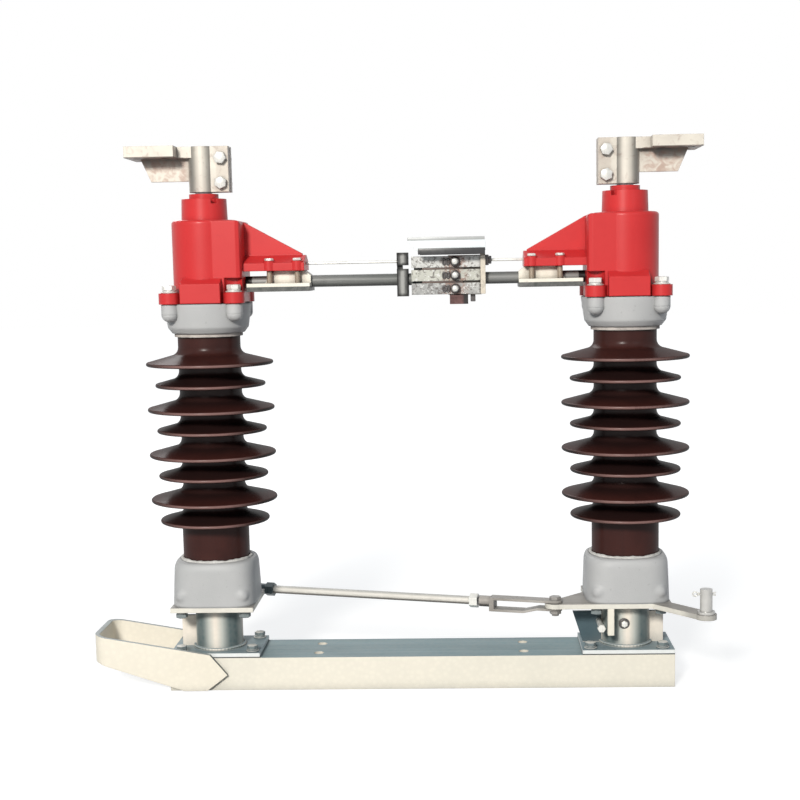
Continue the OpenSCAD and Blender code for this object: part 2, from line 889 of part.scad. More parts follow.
// Foot over the arm: highest along its middle, with round bosses at its bolts
module head_foot() {
    translate([-foot_reach, 0, foot_bottom])
        rotate([90, 0, 90])
            linear_extrude(height = foot_reach - box_reach + eps)
                polygon([
                    [-foot_half, 0],
                    [foot_half, 0],
                    [foot_half, foot_edge_t],
                    [arm_rib_t / 2, foot_t],
                    [-arm_rib_t / 2, foot_t],
                    [-foot_half, foot_edge_t]
                ]);
    for (x = [foot_bolt_near, foot_bolt_far], y = [-foot_bolt_y, foot_bolt_y])
        translate([-x, y, foot_bottom])
            cylinder(r = foot_boss_r, h = foot_boss_h);
}

// Cast head: four lugs, round body with a box toward the centre, neck, foot and rib
module head_housing() {
    lug_span = 2 * sqrt(2) * bolt_offset;
    lug_w = 2 * (head_lug_r - head_lug_step);
    rib_start_x = (body_r + box_reach) / 2;
    rib_tip_x = foot_reach - rib_tip_set;
    difference() {
        union() {
            for (angle = [45, 135])
                rotate([0, 0, angle])
                    translate([-lug_span / 2, -lug_w / 2, upper_top + lug_relief])
                        cube([lug_span, lug_w, head_lug_t - lug_relief]);
            for (x = [-1, 1], y = [-1, 1])
                translate([x * bolt_offset, y * bolt_offset, upper_top + lug_relief])
                    cylinder(r = head_lug_r, h = head_lug_t - lug_relief);
            translate([0, 0, upper_top])
                rotate_extrude()
                    post_section(body_r, body_h, body_round);
            translate([0, 0, upper_top])
                head_box();
            translate([0, 0, upper_top])
                rotate([90, 0, 90])
                    linear_extrude(height = 2 * pad_half, center = true)
                        polygon([
                            [-pad_reach, pad_rise],
                            [pad_reach, pad_rise],
                            [pad_reach, pad_front_h],
                            [body_r - pad_in, pad_h],
                            [-body_r + pad_in, pad_h],
                            [-pad_reach, pad_front_h]
                        ]);
            translate([0, 0, body_top - eps])
                cylinder(r1 = neck_r + neck_draft, r2 = neck_r, h = neck_h + eps);
            translate([0, 0, neck_top - eps])
                cylinder(r = ring_r, h = ring_h + eps);
            head_foot();
            across(arm_rib_t)
                polygon([
                    [-rib_start_x, foot_bottom + eps],
                    [-rib_start_x, body_top - rib_top_drop],
                    [-box_reach, body_top - rib_top_drop],
                    [-rib_tip_x, foot_top + rib_tip_h],
                    [-rib_tip_x, foot_bottom + eps]
                ]);
        }
        translate([0, 0, ring_top - stud_depth])
            cylinder(r = stud_r + run_gap, h = stud_depth + eps);
        rotate([0, 0, 180 + notch_turn])
            translate([ring_r + eps, -notch_w / 2, neck_top - notch_h])
                cube([neck_r, notch_w, notch_h + eps]);
    }
}

// Clamp plate that cradles the bar, and the saddle with slanted ends that the foot presses on
module arm_clamp() {
    plate_top = bar_z - clamp_drop;
    saddle_end = clamp_far - saddle_bevel;
    difference() {
        union() {
            translate([-clamp_far, -clamp_half, plate_top - clamp_t])
                cube([clamp_far - clamp_near, 2 * clamp_half, clamp_t]);
            across(2 * saddle_half)
                polygon([
                    [-saddle_near, plate_top - eps],
                    [-saddle_near, plate_top],
                    [-saddle_near - saddle_slope, foot_bottom],
                    [-saddle_end, foot_bottom],
                    [-clamp_far, bar_z + bar_r],
                    [-clamp_far, plate_top - eps]
                ]);
        }
        translate([0, 0, bar_z])
            rod_along_x(-clamp_far - eps, -clamp_near + eps, bar_r);
    }
}

// A round rod along X between two places
module rod_along_x(x0, x1, r) {
    translate([x0, 0, 0])
        rotate([0, 90, 0])
            cylinder(r = r, h = x1 - x0);
}

module right_lower_fitting() {
    color("darkgray")
        on_column(1)
            lower_fitting();
}

module left_lower_fitting() {
    color("darkgray")
        on_column(-1)
            lower_fitting();
}

module right_lower_cement() {
    color("linen")
        on_column(1)
            lower_cement();
}

module left_lower_cement() {
    color("linen")
        on_column(-1)
            lower_cement();
}

module right_insulator() {
    color("saddlebrown")
        on_column(1)
            insulator();
}

module left_insulator() {
    color("saddlebrown")
        on_column(-1)
            insulator();
}

module right_upper_cement() {
    color("linen")
        on_column(1)
            upper_cement();
}

module left_upper_cement() {
    color("linen")
        on_column(-1)
            upper_cement();
}

module right_upper_fitting() {
    color("darkgray")
        on_column(1)
            upper_fitting();
}

module left_upper_fitting() {
    color("darkgray")
        on_column(-1)
            upper_fitting();
}

module right_head() {
    color("crimson")
        on_column(1)
            head_housing();
}

module left_head() {
    color("crimson")
        on_column(-1)
            head_housing();
}

module right_clamp() {
    color("ivory")
        on_column(1)
            arm_clamp();
}

module left_clamp() {
    color("ivory")
        on_column(-1)
            arm_clamp();
}

module right_bar() {
    color("gray")
        translate([0, 0, bar_z])
            rod_along_x(end_plate_x + end_plate_t, half_spacing - box_reach, bar_r);
}

// The left bar runs through the post and ends in the head that the fingers grip
module left_bar() {
    color("gray") {
        translate([0, 0, bar_z])
            rod_along_x(-half_spacing + box_reach, head_x, bar_r);
        translate([head_x, 0, stack_bottom])
            cylinder(r = head_r, h = stack_h);
    }
}

module right_guard_rod() {
    color("silver")
        translate([0, 0, guard_z])
            rod_along_x(end_plate_x + end_plate_t, half_spacing - foot_reach, guard_r);
}

module left_guard_rod() {
    color("silver")
        translate([0, 0, guard_z])
            rod_along_x(-half_spacing + foot_reach, -post_x - post_t / 2, guard_r);
}

// Two blocks on the left arm's end, one above the other
module contact_post() {
    cap_bottom = stack_bottom + post_h + post_slot;
    color("dimgray")
        difference() {
            union() {
                translate([-post_x - post_t / 2, -post_half, stack_bottom - post_drop])
                    cube([post_t, 2 * post_half, post_h + post_drop]);
                translate([-post_x - post_t / 2, -post_half, cap_bottom])
                    cube([post_t, 2 * post_half, post_cap_h]);
                translate([-post_x - post_t / 2, -post_half / 2, cap_bottom - post_slot - eps])
                    cube([post_t / 2, post_half, post_slot + 2 * eps]);
            }
            translate([0, 0, bar_z])
                rod_along_x(-post_x - post_t / 2 - eps, -post_x + post_t / 2 + eps, bar_r);
        }
}

// A bolt across each row of fingers, which also serves as the tool for its hole
module spring_bolt_row() {
    reach = finger_y + finger_t + spring_bolt_reach;
    for (row = [0 : finger_rows - 1])
        translate([spring_x, 0, stack_bottom + finger_h / 2 + row * finger_pitch])
            rotate([90, 0, 0])
                cylinder(r = spring_bolt_r, h = 2 * reach, center = true);
}

// End plate, the block between the fingers, and the bracket that holds the cover
module finger_carrier() {
    color("wheat")
        difference() {
            union() {
                translate([end_plate_x, -end_plate_half, stack_bottom])
                    cube([end_plate_t, 2 * end_plate_half, stack_h]);
                translate([end_plate_x - carrier_l, -finger_y, stack_bottom - eps])
                    cube([carrier_l + eps, 2 * finger_y, stack_h + 2 * eps]);
                translate([end_plate_x, -cover_bracket_half, stack_top - eps])
                    cube([end_plate_t, 2 * cover_bracket_half, cover_top - sheet_t - stack_top + eps]);
            }
            spring_bolt_row();
        }
}

// One finger at the back: a bar with a bent-in grip near its tip
module finger() {
    grip_r = finger_t;
    difference() {
        union() {
            translate([-finger_reach, finger_y, 0])
                cube([end_plate_x + finger_reach, finger_t, finger_h]);
            translate([head_x, finger_y + grip_r - grip_h, 0])
                cylinder(r = grip_r, h = finger_h);
        }
        translate([head_x - 2 * grip_r, finger_y + finger_t, -eps])
            cube([4 * grip_r, 2 * grip_r, finger_h + 2 * eps]);
    }
}

module contact_fingers() {
    color("lightgray")
        difference() {
            for (row = [0 : finger_rows - 1], side = [0, 1])
                translate([0, 0, stack_bottom + row * finger_pitch])
                    mirror([0, side, 0])
                        finger();
            spring_bolt_row();
        }
}

module spring_bolts() {
    color("silver")
        spring_bolt_row();
}

module drop_block() {
    block_x = end_plate_x - carrier_l + drop_block_set;
    block_z = stack_bottom - eps - drop_block_h;
    color("saddlebrown")
        translate([block_x, -drop_block_half, block_z])
            cube([drop_block_l, 2 * drop_block_half, drop_block_h]);
}

// Roof sheet with two skirts and a slanted open end
module rain_cover() {
    right_x = end_plate_x + end_plate_t;
    color("white")
        intersection() {
            translate([-cover_reach - eps, 0, 0])
                rotate([90, 0, 90])
                    linear_extrude(height = right_x + cover_reach + 2 * eps)
                        difference() {
                            translate([-cover_half, cover_top - skirt_h])
                                square([2 * cover_half, skirt_h]);
                            translate([-cover_half + sheet_t, cover_top - skirt_h - eps])
                                square([2 * (cover_half - sheet_t), skirt_h - sheet_t + eps]);
                        }
            across(2 * cover_half + eps)
                polygon([
                    [-cover_reach, cover_top + eps],
                    [right_x, cover_top + eps],
                    [right_x, cover_top - skirt_h - eps],
                    [-cover_reach + cover_slant, cover_top - skirt_h - eps]
                ]);
        }
}

// Fork drawn from its pivot along +x: two strips, the lower one bent, a web and a socket
module fork() {
    upper_z = lever_t / 2 + strip_gap;
    lower_z = -upper_z - strip_t;
    bend_a = tip_r + bend_gap;
    bend_b = bend_a + bend_l;
    straight_end = fork_l - socket_l;
    // height that reaches past both strips, each way
    past = 4 * upper_z;
    difference() {
        union() {
            intersection() {
                across(strip_w + eps) {
                    translate([-strip_w, upper_z])
                        square([straight_end + strip_w, strip_t]);
                    polygon([
                        [-strip_w, lower_z],
                        [bend_a, lower_z],
                        [bend_b, lower_z - strip_drop],
                        [straight_end, lower_z - strip_drop],
                        [straight_end, lower_z - strip_drop + strip_t],
                        [bend_b, lower_z - strip_drop + strip_t],
                        [bend_a, lower_z + strip_t],
                        [-strip_w, lower_z + strip_t]
                    ]);
                }
                translate([0, 0, -past])
                    linear_extrude(height = 2 * past) {
                        circle(strip_w / 2);
                        translate([0, -strip_w / 2])
                            square([straight_end, strip_w]);
                    }
            }
            translate([straight_end - root_t, -strip_w / 2, lower_z - strip_drop])
                cube([root_t, strip_w, upper_z - lower_z + strip_t + strip_drop]);
            rod_along_x(straight_end - eps, fork_l, socket_r);
        }
        translate([0, 0, -past])
            cylinder(r = pivot_r, h = 2 * past);
    }
}

// Bolt through both strips, with a hex head above and a nut below
module pivot_bolt() {
    top = lever_t / 2 + strip_gap + strip_t;
    head_t = pivot_r;
    translate([0, 0, -top - head_t - thread_end])
        cylinder(r = pivot_r, h = 2 * top + head_t + thread_end);
    translate([0, 0, top])
        cylinder(r = pivot_head_r, h = head_t, $fn = 6);
    translate([0, 0, -top - head_t])
        cylinder(r = pivot_head_r, h = head_t, $fn = 6);
}

// Puts a piece drawn along the rod's line at one of its two pivots
module at_left_pivot() {
    translate([-half_spacing - pivot_short, pivot_long, lever_mid])
        rotate([0, 0, rod_angle])
            children();
}

module at_right_pivot() {
    translate([half_spacing - pivot_long, -pivot_short, lever_mid])
        rotate([0, 0, rod_angle + 180])
            children();
}

module left_fork() {
    color("lightgray")
        at_left_pivot()
            fork();
}

module right_fork() {
    color("lightgray")
        at_right_pivot()
            fork();
}

module left_pivot_bolt() {
    color("silver")
        at_left_pivot()
            pivot_bolt();
}

module right_pivot_bolt() {
    color("silver")
        at_right_pivot()
            pivot_bolt();
}

module rod_tube() {
    color("lightgray")
        at_left_pivot()
            rod_along_x(fork_l, rod_len - fork_l - open_gap, rod_r);
}

module rod_nuts() {
    color("silver")
        at_left_pivot()
            for (x = [fork_l, rod_len - fork_l - open_gap - nut_l])
                translate([x, 0, 0])
                    rotate([0, 90, 0])
                        difference() {
                            cylinder(r = nut_r, h = nut_l, $fn = 6);
                            translate([0, 0, -eps])
                                cylinder(r = rod_r, h = nut_l + 2 * eps);
                        }
}

module stud() {
    translate([0, 0, ring_top - stud_depth + seat_gap])
        cylinder(r = stud_r, h = terminal_top - ring_top + stud_depth - seat_gap);
}

// Split clamp barrel with ears toward the centre, pad outward, gusset below
module terminal() {
    pad_mid = (terminal_near + terminal_far) / 2;
    pad_z = terminal_top - terminal_t;
    difference() {
        union() {
            translate([0, 0, terminal_bottom])
                cylinder(r = barrel_r, h = barrel_h);
            translate([-ear_reach, -ear_half, terminal_bottom])
                cube([ear_reach, 2 * ear_half, barrel_h]);
            translate([0, -ear_half, pad_z])
                cube([terminal_near + eps, 2 * ear_half, terminal_t]);
            translate([terminal_near, -terminal_half, pad_z])
                cube([terminal_far - terminal_near, 2 * terminal_half, terminal_t]);
            across(gusset_t)
                polygon([
                    [stud_r + eps, pad_z + eps],
                    [gusset_top_reach, pad_z + eps],
                    [gusset_top_reach, pad_z],
                    [gusset_foot_reach, pad_z - gusset_h],
                    [stud_r + eps, pad_z - gusset_h]
                ]);
        }
        translate([0, 0, terminal_bottom - eps])
            cylinder(r = stud_r, h = barrel_h + 2 * eps);
        translate([-ear_reach - eps, -ear_slit / 2, terminal_bottom - eps])
            cube([ear_reach + eps, ear_slit, barrel_h + 2 * eps]);
        for (x = [-1, 1], y = [-1, 1])
            translate([pad_mid + x * pad_pitch / 2, y * pad_pitch / 2, pad_z - eps])
                cylinder(r = pad_hole_r, h = terminal_t + 2 * eps);
    }
}

module left_stud() {
    color("silver")
        on_column(-1)
            stud();
}

module right_stud() {
    color("silver")
        on_column(1)
            stud();
}

module left_terminal() {
    color("antiquewhite")
        on_column(-1)
            terminal();
}

module right_terminal() {
    color("antiquewhite")
        on_column(1)
            terminal();
}

base_channel();
left_bearing();
right_bearing();
stop_bolt();
end_yoke();
right_lever();
right_shaft();
operating_pin();
stop_lug();
right_lower_fitting();
right_lower_cement();
right_insulator();
right_upper_cement();
right_upper_fitting();
right_head();
right_clamp();
right_bar();
right_guard_rod();
finger_carrier();
contact_fingers();
spring_bolts();
drop_block();
rain_cover();
left_lever();
left_shaft();
left_lower_fitting();
left_lower_cement();
left_insulator();
left_upper_cement();
left_upper_fitting();
left_head();
left_clamp();
left_bar();
left_guard_rod();
contact_post();
left_fork();
left_pivot_bolt();
rod_tube();
rod_nuts();
right_fork();
right_pivot_bolt();
left_stud();
left_terminal();
right_stud();
right_terminal();
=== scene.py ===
"""Looks for one pole of a centre-break disconnect switch: finishes, fasteners, springs, light and camera."""
import json
import math

import bmesh
import bpy
from mathutils import Matrix, Vector

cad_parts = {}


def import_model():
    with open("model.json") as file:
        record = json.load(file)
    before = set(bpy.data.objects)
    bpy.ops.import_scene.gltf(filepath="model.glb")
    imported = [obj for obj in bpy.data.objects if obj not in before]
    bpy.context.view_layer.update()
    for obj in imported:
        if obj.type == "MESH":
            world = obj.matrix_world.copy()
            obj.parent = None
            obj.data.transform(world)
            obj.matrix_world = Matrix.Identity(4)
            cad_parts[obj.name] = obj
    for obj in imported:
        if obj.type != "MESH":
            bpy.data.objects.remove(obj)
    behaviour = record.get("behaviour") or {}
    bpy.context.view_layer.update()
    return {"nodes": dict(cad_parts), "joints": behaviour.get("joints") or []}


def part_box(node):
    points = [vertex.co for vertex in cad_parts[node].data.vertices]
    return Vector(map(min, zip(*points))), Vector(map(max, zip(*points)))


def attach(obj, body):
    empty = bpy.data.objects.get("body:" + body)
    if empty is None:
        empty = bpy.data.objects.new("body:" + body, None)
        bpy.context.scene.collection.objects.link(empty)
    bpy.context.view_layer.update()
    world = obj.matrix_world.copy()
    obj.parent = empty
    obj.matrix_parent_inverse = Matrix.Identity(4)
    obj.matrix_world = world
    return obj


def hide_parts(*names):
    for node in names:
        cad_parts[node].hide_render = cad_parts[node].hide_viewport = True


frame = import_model()

MM = 0.001
TURN = 2 * math.pi
UP = Vector((0, 0, 1))
DOWN = Vector((0, 0, -1))
FRONT = Vector((0, -1, 0))
BACK = Vector((0, 1, 0))


# Places taken from the frame, in metres

def low(node):
    """The corner of a node's box with the least coordinates."""
    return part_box(node)[0]


def high(node):
    """The corner of a node's box with the greatest coordinates."""
    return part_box(node)[1]


joint_at = {joint["name"]: Vector(joint["pos_m"]) for joint in frame["joints"]}
half_spacing = joint_at["right_column_turn"].x
base_top = high("base_channel").z
lever_bottom = low("right_lever").z
fitting_top = high("right_upper_fitting").z
terminal_top = high("right_terminal").z
terminal_bottom = low("right_terminal").z
clamp_bottom = low("right_clamp").z
stack_bottom = low("contact_fingers").z
finger_out = high("contact_fingers").y
fitting_rim = high("right_lower_fitting").z
guard_axis = (low("right_guard_rod").z + high("right_guard_rod").z) / 2
carrier_end = high("finger_carrier").x
carrier_bottom = low("finger_carrier").z

# Sizes of the part that the details and finishes follow, in millimetres:
# t ends the name of a thickness, h of a height, r of a radius

plate_t = 7
flange_t = 16
foot_bottom = 605.5
foot_boss_h = 14
clamp_t = 11.5
strap_t = 7
# Within the next reach of a column's axis the bar is painted black, as shadow where it enters a head.
bar_shadow_end = 67
stem_r = 48.5
socket_r = 52.5
socket_depth = 28
boss_h = 22
bolt_offset = 46
finger_h = 16
finger_pitch = 19
finger_rows = 3
spring_x = 58
spring_h = 9.5
ear_half = 15
terminal_t = 16
housing_r = 34.5
yoke_arm = 50
lever_dull_from = 66

# Washers under bolt heads and nuts, in millimetres and as a share of the head's radius

washer_t = 1.8
spring_washer_t = 2.2
washer_share = 1.18
spring_washer_share = 0.95

SIDES = {"left": -1, "right": 1}


def on_column(side, out, y, z):
    """A point given from a column's axis: out is away from the other column, all but z in millimetres."""
    return Vector((SIDES[side] * (half_spacing + out * MM), y * MM, z))


def round_column(side, angle, reach, z):
    """A point at a distance from a column's axis, in millimetres."""
    return on_column(side, 0, 0, z) + Vector((reach * math.cos(angle), reach * math.sin(angle), 0)) * MM


def row_height(row):
    """Height of the middle of a row of fingers, counted from below."""
    return stack_bottom + (finger_h / 2 + row * finger_pitch) * MM


# Mesh parts

def aim(point, direction, spin=0.0):
    """Matrix that puts a shape's own Z along a direction, at a point."""
    turn = UP.rotation_difference(Vector(direction).normalized()).to_matrix().to_4x4()
    return Matrix.Translation(point) @ turn @ Matrix.Rotation(spin, 4, "Z")


def spring_ends(spin=0.0):
    """Matrices on the outer faces of the fingers, where the springs stand; each row is turned further."""
    for row in range(finger_rows):
        for way in (FRONT, BACK):
            yield aim(Vector((spring_x * MM, way.y * finger_out, row_height(row))), way, spin * row)


def bridge(bm, a, b):
    """Faces between two rings; a ring of one point makes a fan."""
    count = max(len(a), len(b))
    for i in range(count):
        j = (i + 1) % count
        corners = [a[i % len(a)], a[j % len(a)], b[j % len(b)], b[i % len(b)]]
        unique = []
        for corner in corners:
            if corner not in unique:
                unique.append(corner)
        bm.faces.new(unique)


def lathe(bm, profile, matrix, sides=32):
    """Revolves (radius, height) points, in millimetres; a radius of 0 closes an end."""
    rings = []
    for radius, height in profile:
        if radius == 0:
            rings.append([bm.verts.new(matrix @ Vector((0, 0, height * MM)))])
            continue
        ring = []
        for i in range(sides):
            angle = TURN * i / sides
            local = Vector((radius * math.cos(angle), radius * math.sin(angle), height)) * MM
            ring.append(bm.verts.new(matrix @ local))
        rings.append(ring)
    for a, b in zip(rings, rings[1:]):
        bridge(bm, a, b)


def tube(bm, points, radius, sides, closed=False):
    """Sweeps a circle along points; radius is in metres, or one for each point."""
    radii = radius if isinstance(radius, list) else [radius] * len(points)
    rings = []
    side = None
    count = len(points)
    for i, point in enumerate(points):
        before = points[i - 1] if i or closed else point
        after = points[(i + 1) % count] if i + 1 < count or closed else point
        along = (after - before).normalized()
        if side is None:
            side = along.orthogonal().normalized()
        side = (side - along * side.dot(along)).normalized()
        other = along.cross(side)
        ring = []
        for k in range(sides):
            angle = TURN * k / sides
            outward = math.cos(angle) * side + math.sin(angle) * other
            ring.append(bm.verts.new(point + radii[i] * outward))
        rings.append(ring)
    for a, b in zip(rings, rings[1:]):
        bridge(bm, a, b)
    if closed:
        bridge(bm, rings[-1], rings[0])
        return
    bm.faces.new(rings[0])
    bm.faces.new(rings[-1])


def block(bm, centre, size, edge):
    """A box with rounded edges; size and edge are in millimetres."""
    scale = Matrix.Diagonal((*(Vector(size) * MM), 1))
    made = bmesh.ops.create_cube(bm, size=1, matrix=Matrix.Translation(centre) @ scale)
    edges = list(dict.fromkeys(e for v in made["verts"] for e in v.link_edges))
    bmesh.ops.bevel(bm, geom=edges, offset=edge * MM, segments=2, affect="EDGES", profile=0.6)


def hexagon(bm, matrix, radius, height, start=0.0):
    """A hex head or nut with a chamfered top and a round face below."""
    lift = matrix @ Matrix.Translation((0, 0, start * MM))
    face_r = 0.84 * radius
    face_h = 0.4
    chamfer = 0.16 * radius
    lathe(bm, [(0, 0), (face_r, 0), (face_r, face_h), (0, face_h)], lift)
    lathe(bm, [
        (0, face_h), (radius, face_h), (radius, height - 0.5 * chamfer),
        (radius - chamfer, height), (0, height),
    ], lift, 6)


def washer(bm, matrix, radius, thickness, start=0.0):
    """A disc with bevelled edges; the bolt fills its hole."""
    lift = matrix @ Matrix.Translation((0, 0, start * MM))
    edge = 0.25 * thickness
    lathe(bm, [
        (0, 0), (radius - edge, 0), (radius, edge), (radius, thickness - edge),
        (radius - edge, thickness), (0, thickness),
    ], lift)


def threaded(bm, matrix, radius, start, end):
    """A threaded end: a row of small ridges and a chamfered tip."""
    pitch = 1.75
    turns = max(2, int((end - start) / pitch))
    profile = [(0, start)]
    for i in range(turns):
        at = start + i * (end - start) / turns
        profile += [(0.9 * radius, at), (radius, at + 0.5 * pitch)]
    profile += [(0.86 * radius, end), (0, end)]
    lathe(bm, profile, matrix, 24)


def bolt(bm, point, direction, head_r, head_h, spin):
    """Hex head on a spring washer and a flat washer, standing on a face."""
    matrix = aim(point, direction, spin)
    washer(bm, matrix, washer_share * head_r, washer_t)
    washer(bm, matrix, spring_washer_share * head_r, spring_washer_t, washer_t)
    hexagon(bm, matrix, head_r, head_h, washer_t + spring_washer_t)


def nut_and_thread(bm, point, direction, head_r, nut_h, shank_r, proud, spin):
    """Washer, nut and the bolt's end standing out of it."""
    matrix = aim(point, direction, spin)
    nut_top = washer_t + nut_h
    washer(bm, matrix, washer_share * head_r, washer_t)
    hexagon(bm, matrix, head_r, nut_h, washer_t)
    threaded(bm, matrix, shank_r, nut_top - 0.5, nut_top + proud)


def finish_piece(bm, name, body, material, smooth=32):
    """Turns the mesh into an object that rides on a body."""
    bmesh.ops.recalc_face_normals(bm, faces=bm.faces)
    mesh = bpy.data.meshes.new(name)
    bm.to_mesh(mesh)
    bm.free()
    for face in mesh.polygons:
        face.use_smooth = True
    mesh.set_sharp_from_angle(angle=math.radians(smooth))
    mesh.materials.append(material)
    piece = bpy.data.objects.new(name, mesh)
    bpy.context.scene.collection.objects.link(piece)
    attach(piece, body)
    return piece


# Materials

class Finish:
    """A node material being put together."""

    def __init__(self, name, **shader):
        self.material = bpy.data.materials.new(name)
        self.material.use_nodes = True
        self.tree = self.material.node_tree
        self.shader = self.tree.nodes["Principled BSDF"]
        for socket, value in shader.items():
            self.shader.inputs[socket.replace("_", " ")].default_value = value
        self.place = self.add("ShaderNodeTexCoord").outputs["Object"]

    def add(self, kind, inputs=None, **settings):
        """A new node; each input is a constant or the socket that feeds it."""
        node = self.tree.nodes.new(kind)
        for key, value in settings.items():
            setattr(node, key, value)
        for key, value in (inputs or {}).items():
            if isinstance(value, bpy.types.NodeSocket):
                self.tree.links.new(value, node.inputs[key])
            else:
                node.inputs[key].default_value = value
        return node

    def link(self, value, socket):
        """Feeds one of the main shader's sockets."""
        self.tree.links.new(value, self.shader.inputs[socket])

    def noise(self, scale, detail=4.0, stretch=(1, 1, 1), distortion=0.0):
        """Clouds in the part's own space; a small stretch draws them out along that axis."""
        mapping = self.add("ShaderNodeMapping", {"Vector": self.place, "Scale": stretch})
        return self.add("ShaderNodeTexNoise", {
            "Vector": mapping.outputs[0], "Scale": scale, "Detail": detail, "Distortion": distortion,
        }).outputs[0]

    def spread(self, value, start, end, to_start=0.0, to_end=1.0):
        """Maps start to end onto another span, and holds the ends."""
        return self.add("ShaderNodeMapRange", {
            "Value": value, "From Min": start, "From Max": end, "To Min": to_start, "To Max": to_end,
        }).outputs[0]

    def math(self, operation, a, b):
        return self.add("ShaderNodeMath", {0: a, 1: b}, operation=operation).outputs[0]

    def times(self, a, b):
        return self.math("MULTIPLY", a, b)

    def absolute(self, value):
        return self.math("ABSOLUTE", value, 0.0)

    def mix(self, amount, a, b, blend="MIX"):
        """Colour a where the amount is 0, b where it is 1."""
        inputs = {0: amount}
        for socket, value in ((6, a), (7, b)):
            inputs[socket] = value if isinstance(value, bpy.types.NodeSocket) else (*value, 1)
        return self.add("ShaderNodeMix", inputs, data_type="RGBA", blend_type=blend).outputs[2]

    def ramp(self, value, *stops):
        """Colours along a value from 0 to 1; each stop is a place and a colour."""
        node = self.add("ShaderNodeValToRGB", {0: value})
        elements = node.color_ramp.elements
        while len(elements) < len(stops):
            elements.new(1.0)
        for element, (place, colour) in zip(elements, stops):
            element.position = place
            element.color = (*colour, 1)
        return node.outputs[0]

    def axis(self, vector, letter):
        return self.add("ShaderNodeSeparateXYZ", {0: vector}).outputs[letter]

    def at(self, letter):
        """The point's own X, Y or Z."""
        return self.axis(self.place, letter)

    def normal(self, letter):
        return self.axis(self.add("ShaderNodeNewGeometry").outputs["Normal"], letter)

    def up_facing(self):
        return self.spread(self.normal("Z"), 0.55, 0.85)

    def slant(self):
        """0 on faces square to X or Y, 1 on upright faces half way between them."""
        return self.times(self.absolute(self.times(self.normal("X"), self.normal("Y"))), 2.0)

    def corners(self, reach):
        """1 in narrow corners, 0 on open faces."""
        node = self.add("ShaderNodeAmbientOcclusion", {"Distance": reach}, samples=6)
        return self.spread(node.outputs["AO"], 0.85, 0.35)

    def painted_corner_shade(self, reach, amount, base, colour):
        """Painted shade: the base with another colour in its narrow corners."""
        return self.mix(self.times(self.corners(reach), amount), base, colour)

    def colour(self, value):
        self.link(value, "Base Color")

    def roughness(self, value, start, end):
        self.link(self.spread(value, 0.25, 0.75, start, end), "Roughness")

    def bump(self, height, strength, depth_mm, edge_mm=1.2):
        """Relief on faces whose edges are a little rounded."""
        edge = self.add("ShaderNodeBevel", {"Radius": edge_mm * MM}, samples=4)
        node = self.add("ShaderNodeBump", {
            "Height": height, "Strength": strength, "Distance": depth_mm * MM, "Normal": edge.outputs[0],
        })
        self.link(node.outputs[0], "Normal")


